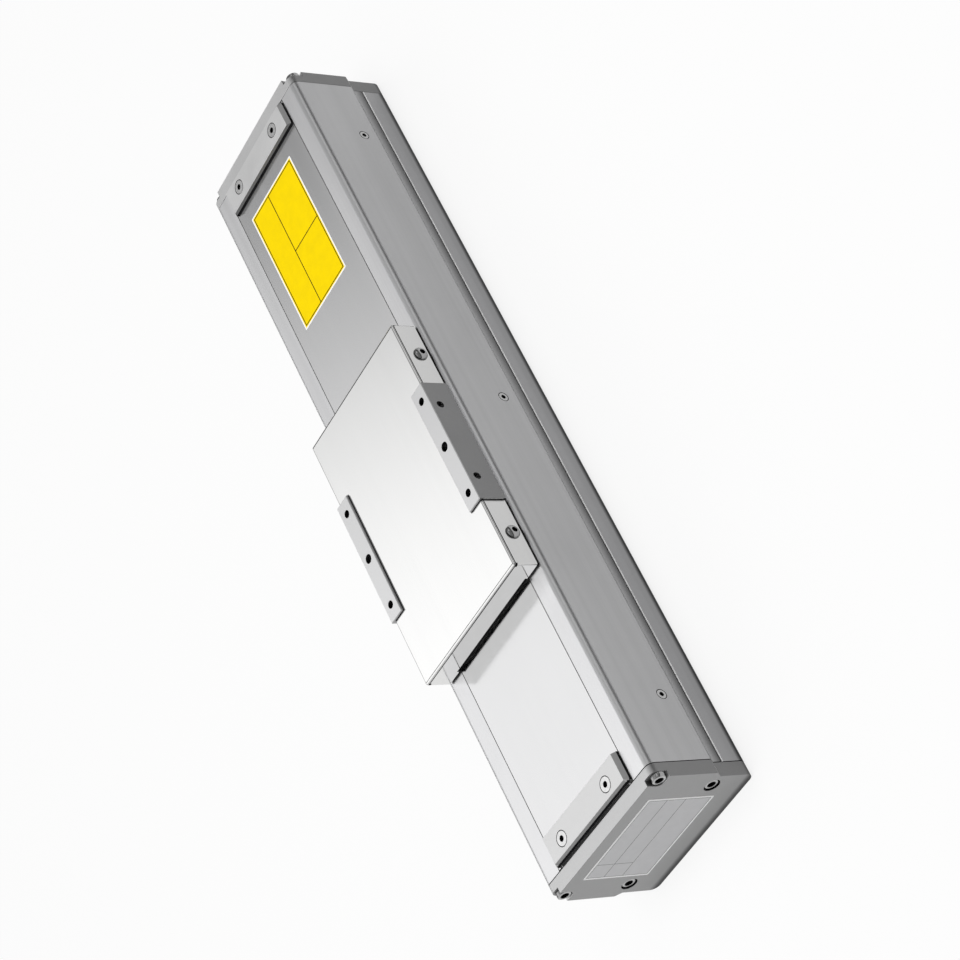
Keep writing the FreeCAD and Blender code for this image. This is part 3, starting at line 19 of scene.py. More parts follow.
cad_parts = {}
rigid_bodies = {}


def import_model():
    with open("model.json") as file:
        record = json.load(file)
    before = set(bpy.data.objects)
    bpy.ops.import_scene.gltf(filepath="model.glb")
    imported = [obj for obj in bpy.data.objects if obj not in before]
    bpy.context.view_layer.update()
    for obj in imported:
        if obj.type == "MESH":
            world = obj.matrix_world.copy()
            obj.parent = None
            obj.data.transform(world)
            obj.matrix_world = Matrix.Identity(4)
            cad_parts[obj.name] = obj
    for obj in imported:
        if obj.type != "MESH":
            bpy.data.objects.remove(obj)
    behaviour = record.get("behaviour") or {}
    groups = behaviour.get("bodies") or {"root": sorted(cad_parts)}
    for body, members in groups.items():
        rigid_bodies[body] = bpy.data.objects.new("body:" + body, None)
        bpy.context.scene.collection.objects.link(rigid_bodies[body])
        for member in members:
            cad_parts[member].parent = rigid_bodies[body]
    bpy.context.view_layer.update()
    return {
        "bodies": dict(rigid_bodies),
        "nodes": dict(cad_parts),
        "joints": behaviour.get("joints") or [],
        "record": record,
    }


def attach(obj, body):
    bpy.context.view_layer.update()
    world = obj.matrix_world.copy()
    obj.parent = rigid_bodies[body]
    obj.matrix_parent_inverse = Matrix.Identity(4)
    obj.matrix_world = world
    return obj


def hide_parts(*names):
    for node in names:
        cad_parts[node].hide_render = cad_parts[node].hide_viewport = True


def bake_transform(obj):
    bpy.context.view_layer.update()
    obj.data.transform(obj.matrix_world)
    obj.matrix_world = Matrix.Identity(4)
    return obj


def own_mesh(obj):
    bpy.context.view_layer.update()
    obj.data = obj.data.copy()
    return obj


LOG = logging.getLogger("linear_module")
MM = 0.001
TOUCH = 0.02  # how near to a plane a point counts as on it, in millimetres
WELD, CUT = 1e-5, 1e-4  # distances in millimetres within which vertices are one, when turned and when cut
SHARP = 32.0  # angle in degrees past which an edge is sharp
SQUARE, LEVEL, STEEP, TURNED = 0.95, 0.9, 0.7, 0.5  # shares of a normal along an axis, by which faces are told apart
SIDES = (1, -1)
DARK, FOLD, EDGE = 1, 2, 3  # material indices of an eased piece, after its own finish: painted shade, painted fold shade and a painted highlight
FACE = 2  # material index of a screw's face, which carries a painted highlight

Colour = tuple[float, float, float]
Spot = tuple[float, float, float]
Node = bpy.types.Node
Socket = bpy.types.NodeSocket
Shape = bmesh.types.BMesh
Piece = bpy.types.Object
Item = bmesh.types.BMVert | bmesh.types.BMEdge | bmesh.types.BMFace


class Slot(Enum):
    """Material slots of the record."""

    BASE = "base_aluminium"
    COVER = "cover_aluminium"
    PLATE = "plate_aluminium"
    CLAMP = "clamp_aluminium"
    MACHINED = "machined_aluminium"
    STRIP = "strip_steel"
    SHEET = "cover_steel"
    SCREW = "screw_steel"
    GROUND = "ground_steel"
    PAINT = "motor_paint"
    PLASTIC = "black_plastic"
    ROLLER = "roller_plastic"
    BUMPER = "bumper_rubber"
    MAGNET = "magnet_rubber"
    SOCKET = "socket_metal"


class Body(Enum):
    """Bodies of the frame that new pieces ride on."""

    FRAME = "frame"
    SLIDER = "slider"


@dataclass(frozen=True)
class FacingShade:
    """Painted shade by facing: the share of the colour kept by faces that look along Y, and along X, darker for how
    light falls on them.
    """

    side: float = 1.0
    end: float = 1.0


@dataclass(frozen=True)
class FootShade:
    """Painted shade at a piece's foot, for the shadow near the floor: heights in millimetres between which the
    colour rises back to full, and the share kept below them.
    """

    low: float = 0.0
    high: float = 0.0
    share: float = 1.0


@dataclass(frozen=True)
class Finish:
    """Name, linear colour and roughness of a finish."""

    name: str
    colour: Colour
    roughness: float


class Graph:
    """A node tree that is wired by short calls."""

    def __init__(self, tree: bpy.types.NodeTree) -> None:
        """Keep the tree."""
        self.tree = tree

    def node(self, kind: str, inputs: Optional[dict[str | int, object]] = None, **settings: object) -> Node:
        """Add a node, set its properties, and set or wire its inputs.

        Args:
            kind: Type of the node, without the word that each type starts with.
            inputs: Value or source socket of each input, by its name or number.
            settings: Properties of the node by name.

        Returns:
            The new node.
        """
        made = self.tree.nodes.new("ShaderNode" + kind)
        for name, value in settings.items():
            setattr(made, name, value)
        for name, value in (inputs or {}).items():
            self.feed(made.inputs[name], value)
        return made

    def feed(self, target: Socket, value: object) -> None:
        """Set an input, or wire it where the value is a socket.

        Args:
            target: Input of a node.
            value: Value, or source socket.
        """
        if isinstance(value, bpy.types.NodeSocket):
            self.tree.links.new(value, target)
        else:
            target.default_value = value

    def ranged(self, value: Socket, low: float, high: float, start: float = 0.3, end: float = 0.7,
               easing: str = "LINEAR") -> Socket:
        """Spread a value over a new range.

        Args:
            value: Socket to read.
            low: Result at start.
            high: Result at end.
            start: Lower value that is read.
            end: Upper value that is read.
            easing: How the result runs between the two.

        Returns:
            The result socket.
        """
        stops = {"Value": value, "From Min": start, "From Max": end, "To Min": low, "To Max": high}
        return self.node("MapRange", stops, interpolation_type=easing).outputs["Result"]

    def maths(self, operation: str, first: Socket, second: Socket | float) -> Socket:
        """Return two values joined by an operation."""
        return self.node("Math", {0: first, 1: second}, operation=operation).outputs[0]

    def mixed(self, first: Socket, second: Socket, share: float) -> Socket:
        """Return the mean of two values, of which the first has a share."""
        rest = self.maths("MULTIPLY", second, 1.0 - share)
        return self.maths("ADD", self.maths("MULTIPLY", first, share), rest)


class Shader(Graph):
    """One material, built round a Principled shader that reads Object coordinates."""

    TURN = (0.12, 0.72)  # squared share of the normal along an axis between which a face takes that axis's painted facing shade
    LUMPS = 0.55  # roughness of the noise

    def __init__(self, finish: Finish, metallic: float = 1.0) -> None:
        """Start the material with constants on the shader's own sockets.

        Args:
            finish: Name, colour and roughness of the material.
            metallic: 1 for bare metal, 0 for paint, plastic, rubber and film.
        """
        self.finish = finish
        self.material = bpy.data.materials.new(finish.name)
        self.material.use_nodes = True
        super().__init__(self.material.node_tree)
        self.skin = next(node for node in self.tree.nodes if node.type == "BSDF_PRINCIPLED")
        self.wear("Base Color", (*finish.colour, 1.0))
        self.wear("Roughness", finish.roughness)
        self.wear("Metallic", metallic)
        coordinates = self.node("TexCoord")
        self.place, self.normal = coordinates.outputs["Object"], coordinates.outputs["Normal"]

    def wear(self, name: str, value: object) -> None:
        """Set or wire one input of the Principled shader."""
        self.feed(self.skin.inputs[name], value)

    def textured(self, kind: str, scale: Sequence[float], inputs: dict[str, object],
                 **settings: object) -> Node:
        """Add a texture whose grain differs along each axis.

        Args:
            kind: Type of the texture.
            scale: Grains per metre along X, Y and Z.
            inputs: Values of the texture's inputs by name.
            settings: Properties of the texture by name.

        Returns:
            The texture's node.
        """
        stretched = self.node("Mapping", {"Vector": self.place, "Scale": scale}).outputs["Vector"]
        return self.node(kind, {"Vector": stretched, "Scale": 1.0, **inputs}, **settings)

    def noise(self, scale: Sequence[float], detail: float = 3.0) -> Socket:
        """Return noise around 0.5, with a number of octaves."""
        return self.textured("TexNoise", scale, {"Detail": detail, "Roughness": self.LUMPS}).outputs["Fac"]

    def mottled(self, value: Socket, dark: float, light: float, start: float = 0.3, end: float = 0.7) -> Socket:
        """Return the finish's colour, made darker and lighter by a value.

        Args:
            value: Socket to read.
            dark: Share of the colour at start.
            light: Share of the colour at end.
            start: Lower value that is read.
            end: Upper value that is read.

        Returns:
            The colour socket.
        """
        made = self.node("Mix", {0: self.ranged(value, 0.0, 1.0, start, end)}, data_type="RGBA")
        for socket, share in zip((socket for socket in made.inputs if socket.type == "RGBA"), (dark, light)):
            socket.default_value = (*(min(1.0, channel * share) for channel in self.finish.colour), 1.0)
        return next(socket for socket in made.outputs if socket.type == "RGBA")

    def scaled(self, colour: Socket, factor: Socket) -> Socket:
        """Return a colour scaled by a factor."""
        return self.node("VectorMath", {0: colour, "Scale": factor}, operation="SCALE").outputs["Vector"]

    def facing_shaded(self, colour: Socket, facing_shade: FacingShade, foot: FootShade = FootShade()) -> Socket:
        """Paint shade into a colour: darker on the faces that look along X or along Y, for how light falls on them,
        and darker at the foot of a piece, for the shadow near the floor.

        Args:
            colour: Colour of the faces that look up or down.
            facing_shade: Share of it that the other faces keep.
            foot: Heights of the painted shade at the foot, and the share kept below it.

        Returns:
            The colour socket.
        """
        parts = self.node("SeparateXYZ", {0: self.normal}).outputs
        # painted shade: faces that look along X or Y are darkened for how light falls on them
        for axis, share in (("X", facing_shade.end), ("Y", facing_shade.side)):
            if share != 1.0:
                squared = self.maths("MULTIPLY", parts[axis], parts[axis])
                colour = self.scaled(colour, self.ranged(squared, 1.0, share, *self.TURN))
        # painted shade: the colour darkens towards the piece's foot, for the shadow near the floor
        if foot.share < 1.0:
            height = self.node("SeparateXYZ", {0: self.place}).outputs["Z"]
            colour = self.scaled(colour, self.ranged(height, foot.share, 1.0, foot.low * MM, foot.high * MM))
        return colour

    def roughened(self, value: Socket, spread: float) -> None:
        """Let a value vary the finish's roughness by a spread to each side."""
        self.wear("Roughness", self.ranged(value, self.finish.roughness - spread, self.finish.roughness + spread))

    def bump(self, height: Socket, depth: float, strength: float = 1.0) -> None:
        """Add relief, on top of any relief that is there.

        Args:
            height: Value of the relief.
            depth: Depth in metres between 0 and 1 of the value.
            strength: Share of the effect.
        """
        made = self.node("Bump", {"Strength": strength, "Distance": depth, "Height": height})
        below = self.skin.inputs["Normal"]
        if below.is_linked:
            self.feed(made.inputs["Normal"], below.links[0].from_socket)
        self.wear("Normal", made.outputs["Normal"])


@dataclass(frozen=True)
class BrushedMetal(Finish):
    """Anodised or rolled metal with hairlines along X and broad soft bands."""

    hairline: float = 1.0
    contrast: float = 0.10
    wave: float = 0.0
    facing_shade: FacingShade = FacingShade()
    foot: FootShade = FootShade()
    hair: Spot = (5.0, 9000.0, 9000.0)
    band: Spot = (1.5, 160.0, 160.0)
    cloud: Spot = (14.0, 20.0, 20.0)
    ripple: Spot = (9.0, 11.0, 11.0)
    hair_share: float = 0.4
    fine_share: float = 0.75
    reads: tuple[float, float] = (0.36, 0.64)
    spread: float = 0.18
    wave_depth: float = 1e-4
    hair_depth: float = 2e-6

    def build(self) -> bpy.types.Material:
        """Make the material with hairlines in colour, roughness and relief.

        Returns:
            The material.
        """
        shader = Shader(self)
        hair = shader.noise(self.hair, 2.0)
        band = shader.noise(self.band)
        cloud = shader.noise(self.cloud, 4.0)
        both = shader.mixed(hair, band, self.hair_share)
        clouded = shader.mixed(both, cloud, self.fine_share)
        colour = shader.mottled(clouded, 1.0 - self.contrast, 1.0 + self.contrast, *self.reads)
        # painted shade: the colour darkens on faces that look along X or Y and towards the foot
        shader.wear("Base Color", shader.facing_shaded(colour, self.facing_shade, self.foot))
        shader.roughened(both, self.spread * self.roughness)
        if self.wave:
            shader.bump(shader.noise(self.ripple, 1.0), self.wave * self.wave_depth)
        shader.bump(hair, self.hairline * self.hair_depth)
        return shader.material


@dataclass(frozen=True)
class BlastedMetal(Finish):
    """Fine blasted and anodised metal with an even grain."""

    grain: float = 4500.0
    depth: float = 1.2e-5
    facing_shade: FacingShade = FacingShade()
    foot: FootShade = FootShade()
    cloud: float = 35.0
    grain_share: float = 0.5
    shares: tuple[float, float] = (0.94, 1.06)
    reads: tuple[float, float] = (0.38, 0.62)
    spread: float = 0.04

    def build(self) -> bpy.types.Material:
        """Make the material with a fine grain and faint clouds.

        Returns:
            The material.
        """
        shader = Shader(self)
        grain = shader.noise((self.grain,) * 3, 2.0)
        cloud = shader.noise((self.cloud,) * 3, 4.0)
        colour = shader.mottled(shader.mixed(grain, cloud, self.grain_share), *self.shares, *self.reads)
        # painted shade: the colour darkens on faces that look along X or Y and towards the foot
        shader.wear("Base Color", shader.facing_shaded(colour, self.facing_shade, self.foot))
        shader.roughened(cloud, self.spread)
        shader.bump(grain, self.depth)
        return shader.material


@dataclass(frozen=True)
class PolishedMetal(Finish):
    """Turned, ground or plated metal with faint scratches."""

    facing_shade: FacingShade = FacingShade()
    along: Spot = (60.0, 2600.0, 2600.0)
    across: Spot = (2100.0, 90.0, 1700.0)
    cloud: float = 120.0
    shares: tuple[float, float] = (0.93, 1.04)
    rough_shares: tuple[float, float] = (0.7, 1.4)
    reads: tuple[float, float] = (0.15, 0.35)
    depth: float = 3e-6

    def build(self) -> bpy.types.Material:
        """Make the material with crossing scratches in roughness and relief.

        Returns:
            The material.
        """
        shader = Shader(self)
        marks = shader.maths("MULTIPLY", shader.noise(self.along), shader.noise(self.across))
        colour = shader.mottled(shader.noise((self.cloud,) * 3), *self.shares)
        # painted shade: the colour darkens on faces that look along X or Y
        shader.wear("Base Color", shader.facing_shaded(colour, self.facing_shade))
        smooth, rough = (self.roughness * share for share in self.rough_shares)
        shader.wear("Roughness", shader.ranged(marks, smooth, rough, *self.reads))
        shader.bump(marks, self.depth)
        return shader.material


@dataclass(frozen=True)
class Moulded(Finish):
    """Plastic, rubber or powder coat with a grained skin."""

    grain: float = 2200.0
    depth: float = 3e-5
    cloud: float = 90.0
    smoothness: float = 0.4
    shares: tuple[float, float] = (0.85, 1.2)
    spread: float = 0.06
    strength: float = 0.6

    def build(self) -> bpy.types.Material:
        """Make the material with a pebbled grain.

        Returns:
            The material.
        """
        shader = Shader(self, 0.0)
        pebbles = shader.textured("TexVoronoi", (self.grain,) * 3, {"Smoothness": self.smoothness},
                                  feature="SMOOTH_F1")
        cloud = shader.noise((self.cloud,) * 3, 4.0)
        shader.wear("Base Color", shader.mottled(cloud, *self.shares))
        shader.roughened(cloud, self.spread)
        shader.bump(pebbles.outputs["Distance"], self.depth, self.strength)
        return shader.material


@dataclass(frozen=True)
class PrintedFilm(Finish):
    """Printed polyester film with a faint unevenness."""

    gloss: float = 0.18
    cloud: float = 160.0
    ripple: float = 500.0
    shares: tuple[float, float] = (0.96, 1.03)
    spread: float = 0.05
    depth: float = 6e-6

    def build(self) -> bpy.types.Material:
        """Make the material with faint mottling and a slight wave.

        Returns:
            The material.
        """
        shader = Shader(self, 0.0)
        shader.wear("Specular IOR Level", self.gloss)
        cloud = shader.noise((self.cloud,) * 3, 5.0)
        shader.wear("Base Color", shader.mottled(cloud, *self.shares))
        shader.roughened(cloud, self.spread)
        shader.bump(shader.noise((self.ripple,) * 3, 2.0), self.depth)
        return shader.material


# Painted shade in these finishes: the facing shares darken faces that look along X or Y for how light falls on them,
# and the foot shares of BASE, COVER and PLATE darken them towards the floor for the shadow there.
SLOT_FINISHES = {
    Slot.BASE: BrushedMetal("BaseExtrusionAnodised", (0.60, 0.60, 0.61), 0.34, hairline=0.8, contrast=0.09,
                            facing_shade=FacingShade(0.59, 0.7), foot=FootShade(3.6, 6.0, 0.03)),
    Slot.COVER: BrushedMetal("SideCoverBrushed", (0.90, 0.90, 0.91), 0.36, contrast=0.09,
                             facing_shade=FacingShade(0.485, 0.54), foot=FootShade(16.5, 22.6, 0.26)),
    Slot.PLATE: BlastedMetal("EndPlateBlasted", (0.84, 0.84, 0.842), 0.55,
                             facing_shade=FacingShade(0.31, 0.46), foot=FootShade(2.0, 5.0, 0.3)),
    Slot.CLAMP: BlastedMetal("StripClampBlasted", (0.94, 0.94, 0.94), 0.5, facing_shade=FacingShade(0.265, 0.29)),
    Slot.MACHINED: BlastedMetal("MachinedAnodised", (0.85, 0.85, 0.855), 0.32, grain=2500.0, depth=8e-6,
                                facing_shade=FacingShade(0.255, 0.45)),
    Slot.STRIP: BrushedMetal("StripSatin", (0.73, 0.73, 0.735), 0.18, hairline=0.4, contrast=0.03, wave=0.3),
    Slot.SHEET: BrushedMetal("CoverSheetPolished", (0.87, 0.87, 0.865), 0.10, hairline=0.2, contrast=0.02,
                             wave=0.25, facing_shade=FacingShade(0.72, 0.92)),
    Slot.SCREW: PolishedMetal("ScrewPlated", (0.36, 0.36, 0.36), 0.16),
    Slot.GROUND: PolishedMetal("BearingSteelGround", (0.62, 0.62, 0.63), 0.14),
    Slot.PAINT: Moulded("MotorPowderCoat", (0.022, 0.022, 0.024), 0.45, grain=3000.0, depth=2e-5),
    Slot.PLASTIC: Moulded("BlackMouldedPlastic", (0.018, 0.018, 0.020), 0.5),
    Slot.ROLLER: Moulded("RollerAcetal", (0.80, 0.80, 0.76), 0.35, grain=900.0, depth=4e-6),
    Slot.BUMPER: Moulded("BumperRubber", (0.015, 0.015, 0.015), 0.75, grain=1500.0, depth=4e-5),
    Slot.MAGNET: Moulded("MagnetStripRubber", (0.045, 0.042, 0.040), 0.7, grain=1200.0),
    Slot.SOCKET: PolishedMetal("SocketNickel", (0.62, 0.60, 0.56), 0.2),
}


class Extra(Enum):
    """Finishes that no slot of the record covers."""

    # painted shade: a near-black finish put on socket insides, seats, slots, joints, gaps and hidden ends where
    # shade falls
    RECESS = PolishedMetal("RecessPaintedShade", (0.012, 0.012, 0.013), 0.55)
    # painted highlight: a lighter copy of the screw steel on the flat faces of screw heads, with its own painted
    # facing shade
    FACE = PolishedMetal("ScrewFacePaintedHighlight", (0.80, 0.80, 0.80), 0.26, facing_shade=FacingShade(0.62, 0.6))
    # painted highlight: a bright finish on the rounded ledges of the base
    EDGE = PolishedMetal("LedgePaintedHighlight", (0.96, 0.96, 0.96), 0.45)
    FOLD = PolishedMetal("SheetFoldShade", (0.035, 0.035, 0.035), 0.4)
    LABEL = PrintedFilm("LabelSilverFilm", (0.63, 0.63, 0.64), 0.5)
    LABEL_RIM = PrintedFilm("LabelSilverRim", (0.97, 0.97, 0.97), 0.45)
    RULE = PrintedFilm("LabelRuleInk", (0.08, 0.08, 0.08), 0.45)
    YELLOW = PrintedFilm("StickerYellowFilm", (0.96, 0.70, 0.001), 0.6, gloss=0.05)
    WHITE = PrintedFilm("StickerWhiteRim", (0.97, 0.97, 0.97), 0.6)
    BLACK = PrintedFilm("StickerBlackInk", (0.004, 0.004, 0.004), 0.6, gloss=0.05)


class Palette:
    """Every finish as a material, made once."""

    def __init__(self) -> None:
        """Build the materials of the record's slots; the others are built when asked for."""
        self.slots = {slot: finish.build() for slot, finish in SLOT_FINISHES.items()}
        self.extras: dict[Extra, bpy.types.Material] = {}

    def material(self, which: Slot | Extra) -> bpy.types.Material:
        """Return the material of a slot or of an extra finish.

        Args:
            which: The slot or the finish.

        Returns:
            Its material.
        """
        if isinstance(which, Slot):
            return self.slots[which]
        if which not in self.extras:
            self.extras[which] = which.value.build()
        return self.extras[which]


class RingForm(Enum):
    """Outline of one ring of a turned piece."""

    ROUND = "round"
    HEX = "hex"
    KNURL = "knurl"


@dataclass(frozen=True)
class Ring:
    """One ring of a turned piece: its radius, or half the width of a hexagon, and its height."""

    radius: float
    height: float
    form: RingForm = RingForm.ROUND
    groove: float = 0.975

    def holds(self, vert: bmesh.types.BMVert) -> bool:
        """Say whether a vertex lies on the ring as it was spun."""
        reach = math.hypot(vert.co.x, vert.co.y)
        return abs(reach - self.radius) < WELD and abs(vert.co.z - self.height) < WELD

    def reach(self, angle: float, step: float) -> float:
        """Return the ring's radius in a direction.

        Args:
            angle: Direction in radians.
            step: Angle between neighbouring vertices.

        Returns:
            The distance from the axis.
        """
        if self.form is RingForm.HEX:
            sixth = math.pi / 3
            return self.radius / math.cos((angle + sixth / 2) % sixth - sixth / 2)
        grooved = self.form is RingForm.KNURL and round(angle / step) % 2 == 0
        return self.radius * (self.groove if grooved else 1.0)


def turned(rings: Sequence[Ring], segments: int = 72) -> Shape:
    """Spin a profile round Z, then give its rings their own outlines.

    Args:
        rings: Rings from one pole to the other; the ends close on the axis.
        segments: Number of steps round the axis.

    Returns:
        The closed mesh.
    """
    shape = bmesh.new()
    heights = [rings[0].height, *(ring.height for ring in rings), rings[-1].height]
    radii = [0.0, *(ring.radius for ring in rings), 0.0]
    chain = [shape.verts.new((radius, 0.0, height)) for radius, height in zip(radii, heights)]
    edges = [shape.edges.new(pair) for pair in zip(chain, chain[1:])]
    bmesh.ops.spin(shape, geom=chain + edges, cent=(0, 0, 0), axis=(0, 0, 1), angle=2 * math.pi,
                   steps=segments, use_merge=True)
    bmesh.ops.remove_doubles(shape, verts=shape.verts, dist=WELD)
    shaped = [ring for ring in rings if ring.form is not RingForm.ROUND]
    for vert in shape.verts:
        ring = next((ring for ring in shaped if ring.holds(vert)), None)
        if ring is not None:
            angle = math.atan2(vert.co.y, vert.co.x)
            reach = ring.reach(angle, 2 * math.pi / segments)
            vert.co.x, vert.co.y = reach * math.cos(angle), reach * math.sin(angle)
    bmesh.ops.recalc_face_normals(shape, faces=shape.faces)
    return shape


def facing(direction: Sequence[float], place: Sequence[float], turn: float) -> Matrix:
    """Return the matrix that points Z along a direction at a place.

    Args:
        direction: New direction of Z.
        place: New place of the origin.
        turn: Turn round the new Z in radians.

    Returns:
        The matrix.
    """
    swing = Vector(direction).to_track_quat("Z", "Y").to_matrix().to_4x4()
    return Matrix.Translation(Vector(place)) @ swing @ Matrix.Rotation(turn, 4, "Z")


def stamped(template: Shape, placements: Iterable[Matrix]) -> Shape:
    """Repeat a shape at each placement.

    Args:
        template: Shape to repeat; it is freed.
        placements: One matrix for each copy.

    Returns:
        One mesh with every copy.
    """
    stamp = bpy.data.meshes.new("stamp")
    template.to_mesh(stamp)
    template.free()
    whole = bmesh.new()
    for placement in placements:
        copy = stamp.copy()
        copy.transform(placement)
        whole.from_mesh(copy)
        bpy.data.meshes.remove(copy)
    bpy.data.meshes.remove(stamp)
    return whole


def blocks(size: Sequence[float], edge: float, places: Iterable[Sequence[float]]) -> Shape:
    """Make equal blocks with rounded edges.

    Args:
        size: Length along X, Y and Z.
        edge: Width of the rounding.
        places: Middle of each block.

    Returns:
        One mesh with every block.
    """
    shape = bmesh.new()
    bmesh.ops.create_cube(shape, size=1.0)
    bmesh.ops.scale(shape, vec=size, verts=shape.verts)
    bmesh.ops.bevel(shape, geom=shape.edges[:], offset=edge, segments=2, profile=0.5, affect="EDGES", material=-1)
    return stamped(shape, map(Matrix.Translation, places))


def marked(shape: Shape, chosen: Callable[[Vector, Vector], bool], index: int = DARK) -> None:
    """Give another finish to the faces that a test picks.

    Args:
        shape: Mesh to change.
        chosen: Test that takes a face's centre and normal.
        index: Material index of the finish.
    """
    for face in shape.faces:
        if chosen(face.calc_center_median(), face.normal):
            face.material_index = index


def sliced(shape: Shape, place: Sequence[float], axis: Sequence[float]) -> None:
    """Cut every face along a plane, without parting the mesh.

    Args:
        shape: Mesh to cut.
        place: Point of the plane.
        axis: Normal of the plane.
    """
    bmesh.ops.bisect_plane(shape, geom=shape.verts[:] + shape.edges[:] + shape.faces[:], plane_co=place,
                           plane_no=axis, dist=CUT)


def moved(shape: Shape, step: Sequence[float], chosen: Callable[[Vector], bool]) -> None:
    """Move the vertices that a test picks.

    Args:
        shape: Mesh to change.
        step: How far they move.
        chosen: Test that takes a vertex's place.
    """
    bmesh.ops.translate(shape, vec=step, verts=[vert for vert in shape.verts if chosen(vert.co)])
    shape.normal_update()


@dataclass
class Bench:
    """What every sub-assembly works with: the frame, the palette and the list of pieces."""

    frame: dict
    palette: Palette
    made: list[Piece] = field(default_factory=list)
    merge: float = 2e-6
    flat_angle: float = 0.6
    flat_weight: int = 80

    def node_shape(self, node: str) -> Shape:
        """Copy a CAD node's mesh, merged and with its flat faces joined.

        Args:
            node: Name of the CAD node.

        Returns:
            The copy in millimetres.
        """
        shape = bmesh.new()
        shape.from_mesh(self.frame["nodes"][node].data)
        bmesh.ops.remove_doubles(shape, verts=shape.verts, dist=self.merge)
        bmesh.ops.dissolve_limit(shape, angle_limit=math.radians(self.flat_angle), use_dissolve_boundaries=False,
                                 verts=shape.verts, edges=shape.edges)
        bmesh.ops.scale(shape, vec=(1 / MM,) * 3, verts=shape.verts)
        return shape

    def finish(self, name: str, shape: Shape, finishes: Sequence[Slot | Extra], body: Optional[Body],
               replaces: Sequence[str] = (), sharp: float = SHARP) -> Piece:
        """Turn a shape into a piece of the model.

        Args:
            name: Name of the piece.
            shape: Its mesh in millimetres; it is freed.
            finishes: Its finishes, in the order of its material indices.
            body: Body that it rides on, or None for one that is left without a body.
            replaces: CAD nodes that it stands for.
            sharp: Angle in degrees past which an edge shades sharp.

        Returns:
            The piece.
        """
        bmesh.ops.scale(shape, vec=(MM,) * 3, verts=shape.verts)
        mesh = bpy.data.meshes.new(name)
        shape.to_mesh(mesh)
        shape.free()
        for finish in finishes:
            mesh.materials.append(self.palette.material(finish))
        mesh.shade_smooth()
        mesh.set_sharp_from_angle(angle=math.radians(sharp))
        piece = bpy.data.objects.new(name, mesh)
        bpy.context.scene.collection.objects.link(piece)
        if body is not None:
            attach(piece, body.value)
        if replaces:
            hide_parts(*replaces)
        self.made.append(piece)
        LOG.info("%s: %d faces", name, len(mesh.polygons))
        return piece

    def eased(self, node: str, slot: Slot, body: Body, width: float, segments: int = 2,
              reshape: Optional[Callable[[Shape], None]] = None) -> None:
        """Stand a copy of a CAD node in its place, with its sharp edges eased.

        Args:
            node: Name of the CAD node.
            slot: Its finish.
            body: Body that it rides on.
            width: Width of the eased edge in millimetres.
            segments: Number of faces across the eased edge.
            reshape: What else is done to the copy; it may use the indices DARK, FOLD and EDGE.
        """
        shape = self.node_shape(node)
        finishes: list[Slot | Extra] = [slot]
        if reshape is not None:
            reshape(shape)
            # the marked faces take painted shade, painted fold shade and a painted highlight
            finishes += [Extra.RECESS, Extra.FOLD, Extra.EDGE]
        piece = self.finish(node + "_eased", shape, finishes, body, [node])
        bevel = piece.modifiers.new("eased edges", "BEVEL")
        bevel.width = width * MM
        bevel.segments = segments
        bevel.limit_method = "ANGLE"
        bevel.angle_limit = math.radians(SHARP)
        bevel.harden_normals = False
        weighted = piece.modifiers.new("even shading", "WEIGHTED_NORMAL")
        weighted.keep_sharp = True
        weighted.weight = self.flat_weight

    def dress(self, slot: Slot, *nodes: str) -> None:
        """Give CAD nodes that stay their finish.

        Args:
            slot: The finish.
            nodes: Names of the CAD nodes.
        """
        for node in nodes:
            mesh = self.frame["nodes"][node].data
            mesh.materials.clear()
            mesh.materials.append(self.palette.material(slot))
            LOG.info("%s: CAD node in %s", node, slot.value)


